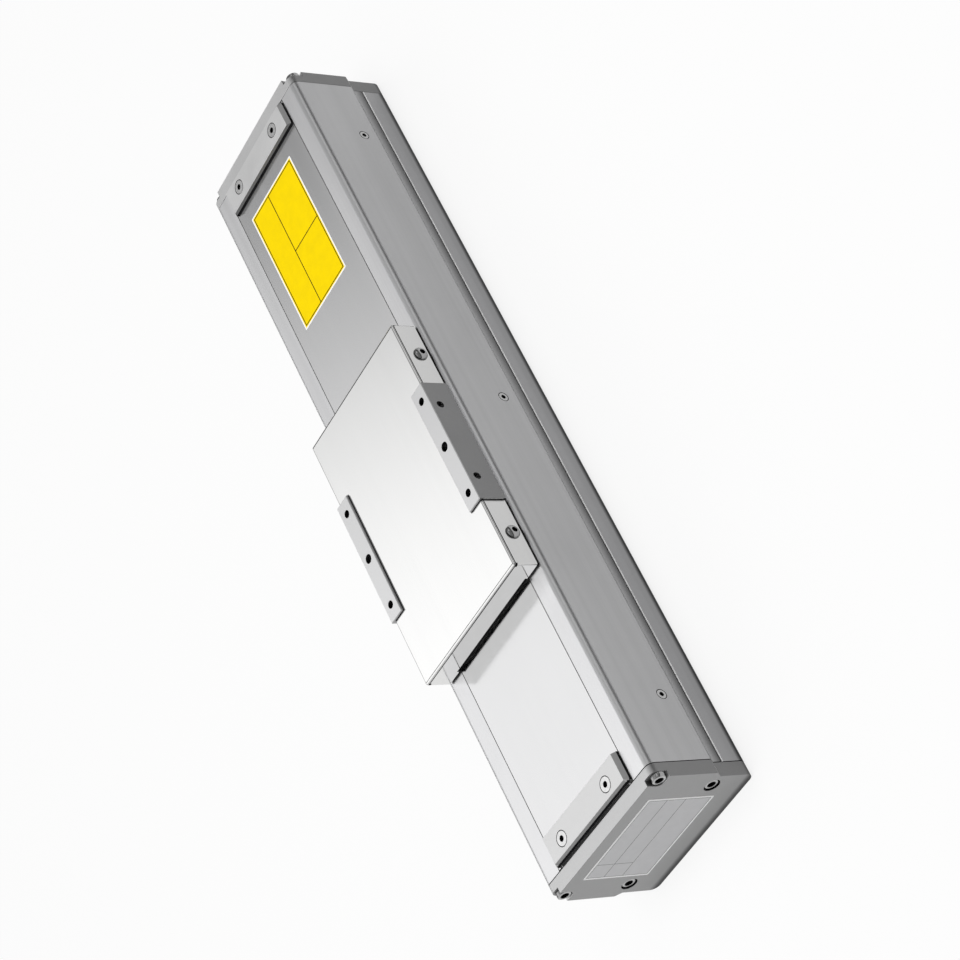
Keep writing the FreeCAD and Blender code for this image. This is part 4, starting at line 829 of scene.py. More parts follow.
@dataclass(frozen=True)
class ScrewSize:
    """Sizes of a screw with a hexagon socket: half widths of head and shank, heights, and width of the key."""

    head: float
    height: float
    shank: float
    length: float
    key: float
    tip_share: float = 0.8
    mouth_share: float = 1.28
    mouth_drop: float = 0.2
    drill_share: float = 0.86
    drill_drop: float = 0.35

    def tip(self, taper: float) -> list[Ring]:
        """Return the rings at the tip of the shank."""
        return [Ring(self.shank * self.tip_share, -self.length), Ring(self.shank, taper - self.length)]

    def socket(self, top: float, depth: float) -> list[Ring]:
        """Return the rings of the hexagon socket, from its mouth to the drill point.

        Args:
            top: Height of the head's face.
            depth: Depth of the socket.

        Returns:
            The rings.
        """
        half = self.key / 2
        return [Ring(half * self.mouth_share, top), Ring(half, top - self.mouth_drop, RingForm.HEX),
                Ring(half - 0.001, top - depth, RingForm.HEX), Ring(half * self.drill_share, top - depth - TOUCH),
                Ring(half * 0.05, top - depth - self.drill_drop)]

    def cap(self) -> list[Ring]:
        """Return the profile of a socket head cap screw with a knurled head, its seat at height 0.

        Returns:
            The rings.
        """
        low = [*self.tip(0.6), Ring(self.shank, -0.02), Ring(self.head * 0.97, 0.0)]
        knurled = [Ring(self.head, height, RingForm.KNURL) for height in (0.15, 0.1501, self.height - 0.75)]
        rim = [Ring(self.head * share, self.height - drop)
               for share, drop in ((0.985, 0.6), (0.98, 0.35), (0.94, 0.12), (0.87, 0.0))]
        return low + knurled + rim + self.socket(self.height, 0.5 * self.height)

    def flat(self) -> list[Ring]:
        """Return the profile of a countersunk screw, its face at height 0.

        Returns:
            The rings.
        """
        drop = self.head - self.shank
        rim = [Ring(self.head - 0.3, -0.5), Ring(self.head - 0.3, -0.1), Ring(self.head - 0.4, 0.0)]
        return [*self.tip(0.5), Ring(self.shank, -drop), *rim, *self.socket(0.0, 0.62 * drop)]

    def button(self, foot: float = 0.3, steps: int = 7, sweep: float = math.radians(62)) -> list[Ring]:
        """Return the profile of a button head screw, its seat at height 0.

        Args:
            foot: Height of the straight rim.
            steps: Number of rings of the crown.
            sweep: Angle that the crown turns through.

        Returns:
            The rings.
        """
        low = [*self.tip(0.5), Ring(self.shank, -0.02), Ring(self.head, 0.0), Ring(self.head, foot)]
        inner = self.key / 2 * 1.45
        crown = []
        for step in range(1, steps + 1):
            angle = step / steps * sweep
            across = self.head - (self.head - inner) * (1 - math.cos(angle)) / (1 - math.cos(sweep))
            crown.append(Ring(across, foot + (self.height - foot) * math.sin(angle) / math.sin(sweep)))
        return low + crown + self.socket(self.height, 0.55 * self.height)


@dataclass
class Screws:
    """Builds the screws whose heads the module shows, each with its socket turned by chance."""

    bench: Bench
    chance: random.Random = field(default_factory=lambda: random.Random(41))
    socket_deep: float = 3.4
    socket_wide: float = 1.4
    rim_drop: float = 0.05
    flat_rim_drop: float = 0.3
    seat_edge: float = 0.3
    face_level: float = 0.97
    sharp: float = 28.0

    def add(self, name: str, rings: Sequence[Ring], size: ScrewSize, mouth: float,
            places: Sequence[tuple[Spot, Spot]], body: Body, node: str) -> None:
        """Repeat one screw at its places, with painted shade inside its socket and round the foot of its head, and a
        painted highlight on its face.

        Args:
            name: Name of the piece.
            rings: Profile of the screw from its tip to the bottom of its socket.
            size: Sizes of the screw.
            mouth: Height of the socket's mouth, 0 for a countersunk screw.
            places: Place and outward direction of each screw.
            body: Body that the screws ride on.
            node: CAD node that they stand for.
        """
        shape = turned(rings)
        reach = size.key / 2
        face_low = mouth - (self.rim_drop if mouth else self.flat_rim_drop)
        for face in shape.faces:
            centre = face.calc_center_median()
            across = math.hypot(centre.x, centre.y)
            # painted shade inside the socket
            if mouth - self.socket_deep < centre.z < mouth - TOUCH and across < reach * self.socket_wide:
                face.material_index = DARK
            # painted highlight on the flat face round the socket
            elif centre.z > face_low and face.normal.z > self.face_level and across > reach:
                face.material_index = FACE
            # painted shade: a dark ring round the bottom of the head, where it meets its seat
            elif mouth and centre.z < self.seat_edge:
                face.material_index = DARK
        turns = [facing(out, place, self.chance.uniform(0, math.pi / 3)) for place, out in places]
        self.bench.finish(name, stamped(shape, turns), [Slot.SCREW, Extra.RECESS, Extra.FACE], body, [node],
                          self.sharp)


@dataclass
class Housing:
    """The part that stands still: base, side covers, end plates, supports, motor and rails."""

    bench: Bench
    screws: Screws
    near_face: float = 229.0
    plate_thick: float = 8.0
    half_width: float = 50.0
    wall_y: float = 46.0
    corner_y: float = 46.0
    corner_z: float = 57.8
    corner_seat: float = 3.3
    low_y: float = 39.9
    low_z: float = 21.8
    low_seat: float = 3.4
    seat_clear: float = 0.9
    face_edge: float = 0.4
    side_screw_x: tuple[float, ...] = (-190.0, 0.0, 190.0)
    side_screw_z: float = 33.4
    clamp_end: float = 228.4
    clamp_x: float = 219.9
    clamp_y: float = 21.5
    clamp_top: float = 66.0
    clamp_thick: float = 3.0
    clamp_gap: float = 0.4
    clamp_lines: tuple[float, float, float] = (0.75, 1.0, 1.75)
    large: ScrewSize = ScrewSize(3.75, 2.8, 2.0, 16.6, 3.6)
    small: ScrewSize = ScrewSize(2.9, 1.4, 1.5, 9.9, 2.0)
    middle: ScrewSize = ScrewSize(4.1, 2.1, 2.0, 8.9, 2.5)
    parting: float = 0.3
    ledge_edge: tuple[float, float] = (47.3, 15.7)
    ledge_round: float = 0.6
    ledge_band: float = 1.0
    ledge_turn: float = 0.2
    slot_edge: float = 0.1
    foot_gap: float = 0.4
    foot_lift: float = 0.4
    base_ease: float = 0.22
    cover_ease: float = 0.18
    plate_ease: float = 0.35
    clamp_ease: float = 0.25
    shell_ease: float = 0.2

    def build(self) -> None:
        """Build the housing from its base up."""
        self.skins()
        self.plate_screws()
        self.side_screws()
        self.clamp_screws()
        self.inside()

    def skins(self) -> None:
        """Ease the edges of the base, the side covers, the end plates and the clamps."""
        ease = self.bench.eased
        ease("base_extrusion", Slot.BASE, Body.FRAME, self.base_ease, reshape=self.base_joints)
        for side in ("right", "left"):
            ease(side + "_side_cover", Slot.COVER, Body.FRAME, self.cover_ease, reshape=self.cover_joints)
        for end in ("near", "far"):
            ease(end + "_end_plate", Slot.PLATE, Body.FRAME, self.plate_ease, 3, self.plate_seats)
            ease(end + "_strip_clamp", Slot.CLAMP, Body.FRAME, self.clamp_ease, reshape=self.clamp_joints)
        ease("socket_shells", Slot.SOCKET, Body.FRAME, self.shell_ease)

    def drawn_back(self, shape: Shape, end: float, gap: float) -> None:
        """Draw the faces at both ends of a shape towards the middle.

        Args:
            shape: Mesh to change.
            end: Distance of the faces from the middle along X.
            gap: How far they move.
        """
        for sign in SIDES:
            moved(shape, (-sign * gap, 0, 0), lambda place: abs(place.x - sign * end) < TOUCH)

    def parted(self, shape: Shape) -> None:
        """Draw both ends back from the end plates, and paint shade on the end faces in the gap.

        Args:
            shape: Mesh of the piece.
        """
        self.drawn_back(shape, self.near_face, self.parting)
        drawn = self.near_face - self.parting - TOUCH
        # painted shade on the end faces in the gap
        marked(shape, lambda centre, normal: abs(normal.x) > SQUARE and abs(centre.x) > drawn)

    def base_joints(self, shape: Shape) -> None:
        """Part the base from the end plates, round its ledges, paint a highlight on them and paint shade into the
        slots above them.

        Args:
            shape: Mesh of the piece.
        """
        self.parted(shape)
        ledge = [edge for edge in shape.edges
                 if all(math.dist((abs(vert.co.y), vert.co.z), self.ledge_edge) < TOUCH for vert in edge.verts)]
        bmesh.ops.bevel(shape, geom=ledge, offset=self.ledge_round, offset_type="OFFSET", segments=3, profile=0.5,
                        affect="EDGES", material=-1)
        shape.normal_update()
        top = self.ledge_edge[1]
        # painted highlight on the rounded ledges
        marked(shape, lambda centre, normal: normal.z > self.ledge_turn
               and top - self.ledge_band < centre.z < top + TOUCH and abs(centre.y) > self.wall_y, EDGE)
        # painted shade in the slots above the ledges
        marked(shape, lambda centre, normal: abs(normal.y) > SQUARE and centre.z > top
               and abs(centre.y) > self.wall_y - self.slot_edge)

    def cover_joints(self, shape: Shape) -> None:
        """Part a side cover from its neighbours and paint shade into its slots and round its screw seats.

        Args:
            shape: Mesh of the piece.
        """
        self.parted(shape)
        foot = self.ledge_edge[1] + self.foot_gap
        moved(shape, (0, 0, self.foot_lift), lambda place: abs(place.z - foot) < TOUCH
              and abs(place.y) > self.wall_y)
        # painted shade on the underside of the cover's foot
        marked(shape, lambda centre, normal: normal.z < -SQUARE and centre.z < foot + self.foot_lift + TOUCH)
        # painted shade round the screw seats
        marked(shape, lambda centre, normal: abs(normal.y) < SQUARE and any(
            math.dist((centre.x, centre.z), (x, self.side_screw_z)) < self.small.head for x in self.side_screw_x))

    def plate_seats(self, shape: Shape) -> None:
        """Paint shade into the round seats of an end plate's lower screws.

        Args:
            shape: Mesh of the piece.
        """
        face = self.near_face + self.plate_thick - self.face_edge
        marked(shape, lambda centre, normal: abs(centre.x) < face and math.dist(
            (abs(centre.y), centre.z), (self.low_y, self.low_z)) < self.large.head + self.seat_clear)

    def clamp_joints(self, shape: Shape) -> None:
        """Draw a clamp back from its end plate, and paint shade on the joint under it and round its screw seats.

        Args:
            shape: Mesh of the piece.
        """
        self.drawn_back(shape, self.clamp_end, self.clamp_gap)
        lip, joint, slot = (self.clamp_top - self.clamp_thick + height for height in self.clamp_lines)
        for height in (lip, joint, slot):
            sliced(shape, (0, 0, height), (0, 0, 1))
        shape.normal_update()
        # painted shade in bands along the joint under the clamp
        marked(shape, lambda centre, normal: abs(normal.z) < LEVEL and (
            lip < centre.z < slot if normal.x * centre.x > TURNED * abs(centre.x) else centre.z < joint))
        # painted shade round the screw seats
        marked(shape, lambda centre, normal: abs(normal.z) < SQUARE and math.dist(
            (abs(centre.x), abs(centre.y)), (self.clamp_x, self.clamp_y)) < self.middle.head)

    def plate_screws(self) -> None:
        """Make the four cap screws of each end plate."""
        rows = ((self.corner_y, self.corner_z, self.corner_seat), (self.low_y, self.low_z, self.low_seat))
        for end, sign in (("near", 1), ("far", -1)):
            places = [((sign * (self.near_face + self.plate_thick - seat), side * y, z), (sign, 0, 0))
                      for y, z, seat in rows for side in SIDES]
            self.screws.add(end + "_plate_cap_screws", self.large.cap(), self.large, self.large.height, places,
                            Body.FRAME, end + "_plate_screws")

    def side_screws(self) -> None:
        """Make the three countersunk screws of each side cover."""
        places = [((x, side * self.half_width, self.side_screw_z), (0, side, 0))
                  for side in SIDES for x in self.side_screw_x]
        self.screws.add("side_cover_flat_screws", self.small.flat(), self.small, 0.0, places, Body.FRAME,
                        "side_cover_screws")

    def clamp_screws(self) -> None:
        """Make the two countersunk screws of each strip clamp."""
        places = [((end * self.clamp_x, side * self.clamp_y, self.clamp_top), (0, 0, 1))
                  for end in SIDES for side in SIDES]
        self.screws.add("strip_clamp_flat_screws", self.middle.flat(), self.middle, 0.0, places, Body.FRAME,
                        "strip_clamp_screws")

    def inside(self) -> None:
        """Dress the pieces that the housing hides."""
        dress = self.bench.dress
        dress(Slot.MACHINED, "far_strip_anchor", "float_support", "fixed_support", "motor_bracket",
              "bearing_retainer", "motor_flange")
        dress(Slot.SCREW, "support_screws", "bearing_circlip", "retainer_screws", "motor_screws", "rail_screws")
        dress(Slot.GROUND, "float_outer_ring", "fixed_outer_rings", "right_guide_rail", "left_guide_rail")
        dress(Slot.PAINT, "motor_housing")
        dress(Slot.PLASTIC, "encoder_cap", "socket_inserts")
        dress(Slot.BUMPER, "far_bumpers", "near_bumpers")
        dress(Slot.MAGNET, "magnet_strips")


@dataclass(frozen=True)
class Rule:
    """One ruled line or border band of a label, as a rectangle in its own plane."""

    left: float
    right: float
    low: float
    high: float
    finish: int

    def holds(self, across: float, up: float) -> bool:
        """Say whether a point of the label lies in the band."""
        return self.left <= across <= self.right and self.low <= up <= self.high


@dataclass
class Label:
    """A thin plain label with ruled lines, printed on film, with its lower left corner at its place."""

    name: str
    width: float
    height: float
    thick: float
    finishes: tuple[Extra, ...]
    place: Matrix
    corner: float = 0.6
    rules: list[Rule] = field(default_factory=list)

    def border(self, inset: float, line: float, finish: int) -> None:
        """Add the four bands of a border.

        Args:
            inset: Distance from the label's edge.
            line: Width of the bands.
            finish: Material index of the bands.
        """
        right, top = self.width - inset, self.height - inset
        self.rules += [Rule(inset, right, inset, inset + line, finish), Rule(inset, right, top - line, top, finish),
                       Rule(inset, inset + line, inset, top, finish), Rule(right - line, right, inset, top, finish)]

    def build(self, bench: Bench) -> None:
        """Cut a plate along its rules, colour the bands and give it its thickness.

        Args:
            bench: Bench that finishes the piece.
        """
        shape = bmesh.new()
        bmesh.ops.create_grid(shape, x_segments=1, y_segments=1, size=0.5)
        bmesh.ops.translate(shape, vec=(0.5, 0.5, 0), verts=shape.verts)
        bmesh.ops.scale(shape, vec=(self.width, self.height, 1), verts=shape.verts)
        bmesh.ops.bevel(shape, geom=shape.verts[:], offset=self.corner, segments=4, profile=0.5,
                        affect="VERTICES", material=-1)
        for rule in self.rules:
            for across in (rule.left, rule.right):
                sliced(shape, (across, 0, 0), (1, 0, 0))
            for up in (rule.low, rule.high):
                sliced(shape, (0, up, 0), (0, 1, 0))
        for rule in self.rules:
            marked(shape, lambda centre, normal: rule.holds(centre.x, centre.y), rule.finish)
        raised = bmesh.ops.extrude_face_region(shape, geom=shape.faces[:])
        tops = [item for item in raised["geom"] if isinstance(item, bmesh.types.BMVert)]
        bmesh.ops.translate(shape, vec=(0, 0, self.thick), verts=tops)
        bmesh.ops.recalc_face_normals(shape, faces=shape.faces)
        shape.transform(self.place)
        bench.finish(self.name, shape, self.finishes, Body.FRAME)


@dataclass
class Labels:
    """The ruled label on the near end plate and the yellow sticker on the strip."""

    bench: Bench
    label_size: tuple[float, float, float] = (64.2, 40.3, 0.12)
    label_place: Spot = (237.0, -32.6, 14.9)
    label_rim: float = 1.1
    label_frame: float = 0.3
    label_line: float = 0.28
    label_rows: tuple[float, float] = (16.6, 28.1)
    label_column: float = 11.8
    sticker_size: tuple[float, float, float] = (83.1, 49.0, 0.09)
    sticker_place: Spot = (-200.2, -27.1, 63.0)
    sticker_rim: float = 0.9
    sticker_inset: float = 1.6
    sticker_line: float = 0.6
    sticker_row: float = 19.7
    sticker_column: float = 43.2

    def build(self) -> None:
        """Build both labels."""
        self.end_label()
        self.strip_sticker()

    def end_label(self) -> None:
        """Make the silver label: a lighter border, two rows ruled off and one cross line."""
        upright = Matrix(((0, 0, 1, 0), (1, 0, 0, 0), (0, 1, 0, 0), (0, 0, 0, 1)))
        label = Label("end_label_plain", *self.label_size, (Extra.LABEL, Extra.LABEL_RIM, Extra.RULE),
                      Matrix.Translation(self.label_place) @ upright)
        rim, line = self.label_rim, self.label_line
        label.border(0.0, rim, 1)
        label.border(rim, self.label_frame, 2)
        label.rules += [Rule(rim, label.width - rim, row, row + line, 2) for row in self.label_rows]
        label.rules.append(Rule(self.label_column, self.label_column + line, self.label_rows[0],
                                label.height - rim, 2))
        label.build(self.bench)

    def strip_sticker(self) -> None:
        """Make the yellow sticker: white rim, thin black frame, and lines that part it in three."""
        label = Label("strip_sticker_plain", *self.sticker_size, (Extra.YELLOW, Extra.WHITE, Extra.BLACK),
                      Matrix.Translation(self.sticker_place))
        inset, line, row, column = self.sticker_inset, self.sticker_line, self.sticker_row, self.sticker_column
        label.border(0.0, self.sticker_rim, 1)
        label.border(inset, line, 2)
        label.rules += [Rule(inset, label.width - inset, row, row + line, 2),
                        Rule(column, column + line, row, label.height - inset, 2)]
        label.build(self.bench)


def last_edge(grown: Iterable[Item]) -> list[Item]:
    """Pick the end of a grown ribbon.

    Args:
        grown: What an operator made.

    Returns:
        The two vertices at the end and the edge between them.
    """
    verts = [item for item in grown if isinstance(item, bmesh.types.BMVert)]
    return [*verts, next(item for item in grown if isinstance(item, bmesh.types.BMEdge)
                         and all(vert in verts for vert in item.verts))]


@dataclass
class SealingStrip:
    """The steel strip in three lengths: flat at the far end, lifted over the slider, flat at the near end."""

    bench: Bench
    slider_x: float = 28.5
    half_width: float = 35.85
    bottom: float = 62.7
    thick: float = 0.3
    lift: float = 7.5
    outer: float = 71.0
    inner: float = 36.0
    end: float = 228.3
    clamp_edge: float = 211.4
    travel: float = 101.5
    # painted shade: size and place of the dark block that fills the gap at each strip end
    gap_block_size: Spot = (0.94, 64.8, 0.55)
    gap_block_offset: float = 0.19
    gap_block_rise: float = 0.1
    gap_block_edge: float = 0.08
    far_steps: int = 48
    near_steps: int = 12
    arc_steps: int = 14

    def build(self) -> None:
        """Build the three lengths and set how each follows the slider."""
        far_joint, near_joint = self.slider_x - self.outer, self.slider_x + self.outer
        far = self.length("strip_far_flat", self.flat(-self.end, far_joint, self.far_steps), None)
        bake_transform(far)
        self.length("strip_hump", self.hump(), Body.SLIDER)
        near = self.length("strip_near_flat", self.flat(near_joint, self.end, self.near_steps), Body.FRAME)
        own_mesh(near)
        self.gap_shade_blocks()

    def length(self, name: str, shape: Shape, body: Optional[Body]) -> Piece:
        """Finish one length of the strip."""
        return self.bench.finish(name, shape, [Slot.STRIP], body, ["sealing_strip"])

    def gap_shade_blocks(self) -> None:
        """Make a dark rubber block between each end of the strip and its end plate, which stands in as painted shade
        for the dark gap there.
        """
        places = [(end * (self.end + self.gap_block_offset), 0, self.bottom + self.gap_block_rise) for end in SIDES]
        self.bench.finish("strip_end_gap_shade_blocks", blocks(self.gap_block_size, self.gap_block_edge, places), [Slot.BUMPER], Body.FRAME)

    def ribbon(self, start: float) -> tuple[Shape, list[Item]]:
        """Start a ribbon as one edge across the strip.

        Args:
            start: Place of the edge along X.

        Returns:
            The mesh and its first edge with its vertices.
        """
        shape = bmesh.new()
        ends = [shape.verts.new((start, side * self.half_width, self.bottom)) for side in (-1, 1)]
        return shape, [*ends, shape.edges.new(ends)]

    def extended(self, shape: Shape, edge: list[Item], step: float) -> list[Item]:
        """Extrude a ribbon's last edge along X.

        Args:
            shape: The ribbon.
            edge: Its last edge with its vertices.
            step: How far it goes.

        Returns:
            The new last edge with its vertices.
        """
        edge = last_edge(bmesh.ops.extrude_edge_only(shape, edges=[edge[2]])["geom"])
        bmesh.ops.translate(shape, vec=(step, 0, 0), verts=edge[:2])
        return edge

    def thickened(self, shape: Shape) -> Shape:
        """Merge a ribbon, face it up, and give it the strip's thickness.

        Args:
            shape: The ribbon.

        Returns:
            The same mesh, closed.
        """
        bmesh.ops.remove_doubles(shape, verts=shape.verts, dist=CUT)
        bmesh.ops.recalc_face_normals(shape, faces=shape.faces)
        if sum(face.normal.z for face in shape.faces) < 0:
            bmesh.ops.reverse_faces(shape, faces=shape.faces)
        bmesh.ops.solidify(shape, geom=shape.faces[:], thickness=-self.thick)
        bmesh.ops.recalc_face_normals(shape, faces=shape.faces)
        return shape

    def flat(self, start: float, end: float, cuts: int) -> Shape:
        """Make a flat length.

        Args:
            start: Its lower end along X.
            end: Its upper end along X.
            cuts: Number of steps along it.

        Returns:
            The closed mesh.
        """
        shape, edge = self.ribbon(start)
        for _ in range(cuts):
            edge = self.extended(shape, edge, (end - start) / cuts)
        return self.thickened(shape)

    def hump(self) -> Shape:
        """Make the lifted length: four arcs that meet in tangents, and the level between them.

        Returns:
            The closed mesh.
        """
        run = self.outer - self.inner
        bend = (run * run + self.lift * self.lift) / (4 * self.lift)
        swing = 2 * math.atan2(self.lift, run)
        low, high = self.bottom + bend, self.bottom + self.lift - bend
        shape, edge = self.ribbon(self.slider_x - self.outer)
        for offset, height, angle in ((-self.outer, low, -swing), (-self.inner, high, swing),
                                      (self.inner, high, swing), (self.outer, low, -swing)):
            if offset == self.inner:
                edge = self.extended(shape, edge, 2 * self.inner)
            edge = last_edge(bmesh.ops.spin(shape, geom=edge, cent=(self.slider_x + offset, 0, height),
                                            axis=(0, 1, 0), angle=angle, steps=self.arc_steps)["geom_last"])
        return self.thickened(shape)


@dataclass
class Slider:
    """The moving table with its folded cover, carriages, nut and roller brackets."""

    bench: Bench
    screws: Screws
    slider_x: float = 28.5
    screw_pitch: float = 117.5
    screw_z: float = 69.4
    cover_half: float = 47.25
    cover_reach: float = 79.0
    cover_top: float = 78.5
    rim_z: float = 63.9
    rim_lift: float = 0.3
    fold: float = 1.1
    fold_band: tuple[float, float] = (0.45, 0.2)
    fold_line: tuple[float, float] = (0.3, 0.05)
    notch: float = 1.3
    notch_wide: float = 1.95
    # rubber lips under the cover's rim, which also darken the gap there as painted shade
    wiper_z: float = 63.7
    end_wiper: Spot = (1.4, 91.0, 1.1)
    end_wiper_x: float = 76.7
    side_wiper: Spot = (17.5, 1.4, 1.1)
    side_wiper_place: tuple[float, float] = (67.4, 45.3)
    wiper_edge: float = 0.15
    block_ease: float = 0.3
    cover_ease: float = 0.1
    button: ScrewSize = ScrewSize(3.8, 2.2, 2.0, 7.9, 2.5)

    def build(self) -> None:
        """Build the slider."""
        self.bench.eased("slider_block", Slot.MACHINED, Body.SLIDER, self.block_ease)
        self.bench.eased("slider_cover", Slot.SHEET, Body.SLIDER, self.cover_ease, reshape=self.cover_folds)
        places = [((self.slider_x + end * self.screw_pitch / 2, side * self.cover_half, self.screw_z), (0, side, 0))
                  for side in SIDES for end in SIDES]
        self.screws.add("slider_cover_button_screws", self.button.button(), self.button, self.button.height, places,
                        Body.SLIDER, "slider_cover_screws")
        self.wipers("slider_end_wipers", self.end_wiper, self.end_wiper_x, 0.0)
        self.wipers("slider_side_wipers", self.side_wiper, *self.side_wiper_place)
        dress = self.bench.dress
        for end in ("far", "near"):
            dress(Slot.PLASTIC, end + "_roller_bracket")
            dress(Slot.ROLLER, end + "_hold_roller", end + "_lift_roller")
            dress(Slot.GROUND, f"right_{end}_carriage", f"left_{end}_carriage")
        dress(Slot.GROUND, "ball_nut", "roller_axles")
        dress(Slot.SCREW, "nut_screws")

    def wipers(self, name: str, size: Spot, x: float, y: float) -> None:
        """Make dark rubber lips that close the gap under the slider cover, clear of the strip and the lids; they
        also fill that gap as painted shade.

        Args:
            name: Name of the piece.
            size: Length along X, along Y and height of one lip.
            x: Distance of the lips from the slider's middle along X.
            y: Distance along Y.
        """
        places = sorted({(self.slider_x + end * x, side * y, self.wiper_z) for end in SIDES for side in SIDES})
        self.bench.finish(name, blocks(size, self.wiper_edge, places), [Slot.BUMPER], Body.SLIDER)

    def cover_folds(self, shape: Shape) -> None:
        """Raise the cover's rim off the lids a little, and paint shade on its inside and corner notches, and dark
        painted reflection lines along its folds.

        Args:
            shape: Mesh of the piece.
        """
        moved(shape, (0, 0, self.rim_lift), lambda place: abs(place.z - self.rim_z) < TOUCH)
        bend, flat_x = self.cover_top - self.fold, self.cover_reach - self.fold
        low, high = bend - self.fold_band[0], bend + self.fold_band[1]
        inner, outer = flat_x - self.fold_line[0], flat_x + self.fold_line[1]
        corner_y, corner_z = self.cover_half - self.notch_wide, bend - self.notch
        for height in (corner_z, low, high):
            sliced(shape, (0, 0, height), (0, 0, 1))
        for sign in SIDES:
            for place in (inner, outer):
                sliced(shape, (self.slider_x + sign * place, 0, 0), (1, 0, 0))
            sliced(shape, (0, sign * corner_y, 0), (0, 1, 0))
        shape.normal_update()
        # painted reflection: dark lines along the folds
        marked(shape, lambda centre, normal: abs(normal.z) < STEEP and low < centre.z < high, FOLD)
        marked(shape, lambda centre, normal: normal.z > LEVEL
               and inner < abs(centre.x - self.slider_x) < outer, FOLD)
        # painted shade in the corner notches
        marked(shape, lambda centre, normal: abs(normal.z) < STEEP and abs(centre.x - self.slider_x) > flat_x
               and abs(centre.y) > corner_y and corner_z < centre.z < high)
        # painted shade on the inside faces
        marked(shape, lambda centre, normal: normal.z < -TURNED
               or (abs(normal.y) > TURNED and normal.y * centre.y < 0)
               or (abs(normal.x) > TURNED and normal.x * (centre.x - self.slider_x) < 0))


@dataclass
class DriveTrain:
    """The turning group: screw, ring nut, inner rings, coupling and rotor."""

    bench: Bench

    def build(self) -> None:
        """Dress the pieces of the drive."""
        self.bench.dress(Slot.GROUND, "ball_screw", "fixed_inner_rings", "float_inner_ring", "motor_rotor")
        self.bench.dress(Slot.SCREW, "preload_ring_nut")
        self.bench.dress(Slot.MACHINED, "beam_coupling")


@dataclass(frozen=True)
class Patch:
    """A soft bright patch of the sky: its direction, its half angles in degrees, and what it adds."""

    direction: Spot
    inner: float
    outer: float
    level: float


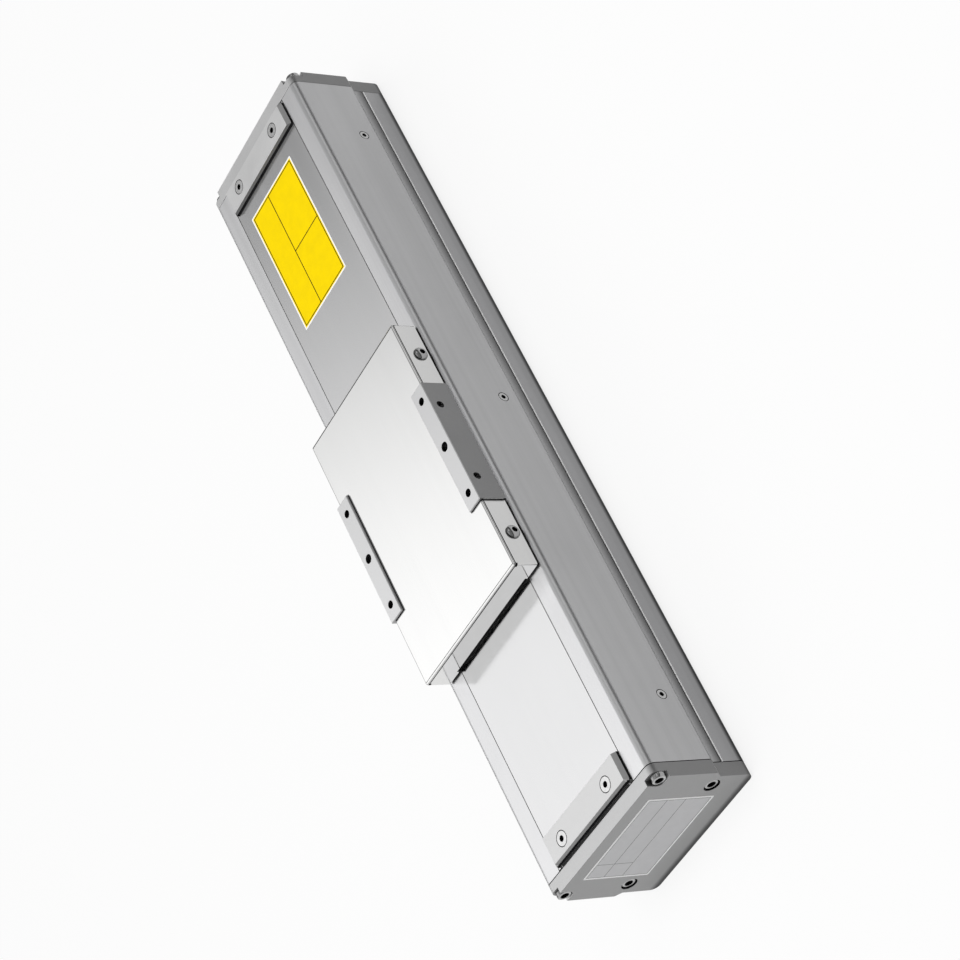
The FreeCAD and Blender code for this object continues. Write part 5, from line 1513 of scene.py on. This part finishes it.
@dataclass
class Studio:
    """Plain pale floor, soft light and the camera at the photograph's angle, in metres."""

    lens: float = 117.336
    sensor: float = 36.0
    shift: tuple[float, float] = (0.01604, 0.01229)
    location: Spot = (0.86372, 0.96369, 0.99092)
    right: Spot = (0.38682, 0.45399, -0.80266)
    up: Spot = (-0.75557, 0.65504, 0.00637)
    back: Spot = (0.52867, 0.60400, 0.59640)
    clip: tuple[float, float] = (0.05, 50.0)
    sky_level: float = 0.36
    patches: tuple[Patch, ...] = (
        Patch((-0.25, -0.70, 0.67), 14.0, 26.0, 1.1),
        Patch((0.53, -0.60, 0.60), 12.0, 40.0, 0.85),
        Patch((-0.53, 0.60, 0.60), 7.0, 17.0, 0.9),
        Patch((0.0, 0.0, 1.0), 16.0, 40.0, 0.45),
    )
    band: tuple[float, float] = (0.04, 0.34)
    band_level: float = 0.12
    floor_radius: float = 9.0
    floor_steps: int = 96
    floor_drop: float = 5e-5
    floor_colour: Colour = (0.86, 0.86, 0.86)
    floor_camera: float = 0.85
    floor_gloss: float = 0.3
    lamp_energy: float = 20.0
    lamp_size: float = 1.1
    lamp_place: Spot = (0.15, 0.2, 2.0)

    def build(self) -> None:
        """Build the floor, the light and the camera."""
        self.floor()
        self.sky()
        self.lamp()
        self.camera()

    def floor(self) -> None:
        """Lay a wide round floor under the module, white to the camera and to reflections."""
        shape = bmesh.new()
        bmesh.ops.create_circle(shape, cap_ends=True, segments=self.floor_steps, radius=self.floor_radius)
        bmesh.ops.translate(shape, vec=(0, 0, -self.floor_drop), verts=shape.verts)
        mesh = bpy.data.meshes.new("studio_floor")
        shape.to_mesh(mesh)
        shape.free()
        floor = bpy.data.objects.new("studio_floor", mesh)
        bpy.context.scene.collection.objects.link(floor)
        material = bpy.data.materials.new("StudioFloor")
        material.use_nodes = True
        material.node_tree.nodes.clear()
        graph = Graph(material.node_tree)
        path = graph.node("LightPath").outputs
        seen = graph.maths("MULTIPLY", path["Is Camera Ray"], self.floor_camera)
        mirrored = graph.maths("MAXIMUM", path["Is Glossy Ray"], path["Is Transmission Ray"])
        share = graph.maths("ADD", graph.maths("MULTIPLY", mirrored, self.floor_gloss), seen)
        matt = graph.node("BsdfDiffuse", {"Color": (*self.floor_colour, 1.0)})
        white = graph.node("Emission", {"Color": (1.0,) * 4, "Strength": 1.0})
        mix = graph.node("MixShader", {0: share, 1: matt.outputs[0], 2: white.outputs[0]})
        graph.node("OutputMaterial", {"Surface": mix.outputs[0]})
        mesh.materials.append(material)

    def sky(self) -> None:
        """Light the world evenly, with wide soft patches and a dim band along the horizon."""
        world = bpy.data.worlds.new("StudioSky")
        bpy.context.scene.world = world
        world.use_nodes = True
        world.node_tree.nodes.clear()
        graph = Graph(world.node_tree)
        direction = graph.node("TexCoord").outputs["Generated"]
        total: Socket | float = self.sky_level
        for patch in self.patches:
            towards = {0: direction, 1: Vector(patch.direction).normalized()}
            dot = graph.node("VectorMath", towards, operation="DOT_PRODUCT").outputs["Value"]
            edge, core = (math.cos(math.radians(angle)) for angle in (patch.outer, patch.inner))
            total = graph.maths("ADD", graph.ranged(dot, 0.0, patch.level, edge, core, "SMOOTHSTEP"), total)
        height = graph.node("SeparateXYZ", {0: direction}).outputs["Z"]
        band = graph.ranged(height, self.band_level, 1.0, *self.band, "SMOOTHSTEP")
        light = graph.node("Background", {"Strength": graph.maths("MULTIPLY", total, band)})
        graph.node("OutputWorld", {"Surface": light.outputs[0]})

    def lamp(self) -> None:
        """Hang one large soft lamp overhead, which polished metal doesn't mirror."""
        data = bpy.data.lights.new("overhead_lamp", "AREA")
        data.shape = "DISK"
        data.size = self.lamp_size
        data.energy = self.lamp_energy
        lamp = bpy.data.objects.new("overhead_lamp", data)
        lamp.location = self.lamp_place
        lamp.rotation_mode = "QUATERNION"
        lamp.rotation_quaternion = (-Vector(self.lamp_place)).to_track_quat("-Z", "Y")
        lamp.visible_camera = False
        lamp.visible_glossy = False
        bpy.context.scene.collection.objects.link(lamp)

    def camera(self) -> None:
        """Set the camera where the photograph was taken from."""
        data = bpy.data.cameras.new("photo_camera")
        data.sensor_width = self.sensor
        data.lens = self.lens
        data.shift_x, data.shift_y = self.shift
        data.clip_start, data.clip_end = self.clip
        camera = bpy.data.objects.new("photo_camera", data)
        turn = Matrix((self.right, self.up, self.back)).transposed()
        camera.matrix_world = Matrix.Translation(self.location) @ turn.to_4x4()
        bpy.context.scene.collection.objects.link(camera)
        bpy.context.scene.camera = camera
        bpy.context.scene.view_settings.view_transform = "Standard"


def main() -> None:
    """Load the frame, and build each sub-assembly."""
    logging.basicConfig(level=logging.INFO, format="%(name)s: %(message)s")
    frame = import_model()
    bench = Bench(frame, Palette())
    screws = Screws(bench)
    Studio().build()
    Housing(bench, screws).build()
    SealingStrip(bench).build()
    Slider(bench, screws).build()
    DriveTrain(bench).build()
    Labels(bench).build()
    LOG.info("%d new pieces", len(bench.made))


if __name__ == "__main__":
    main()
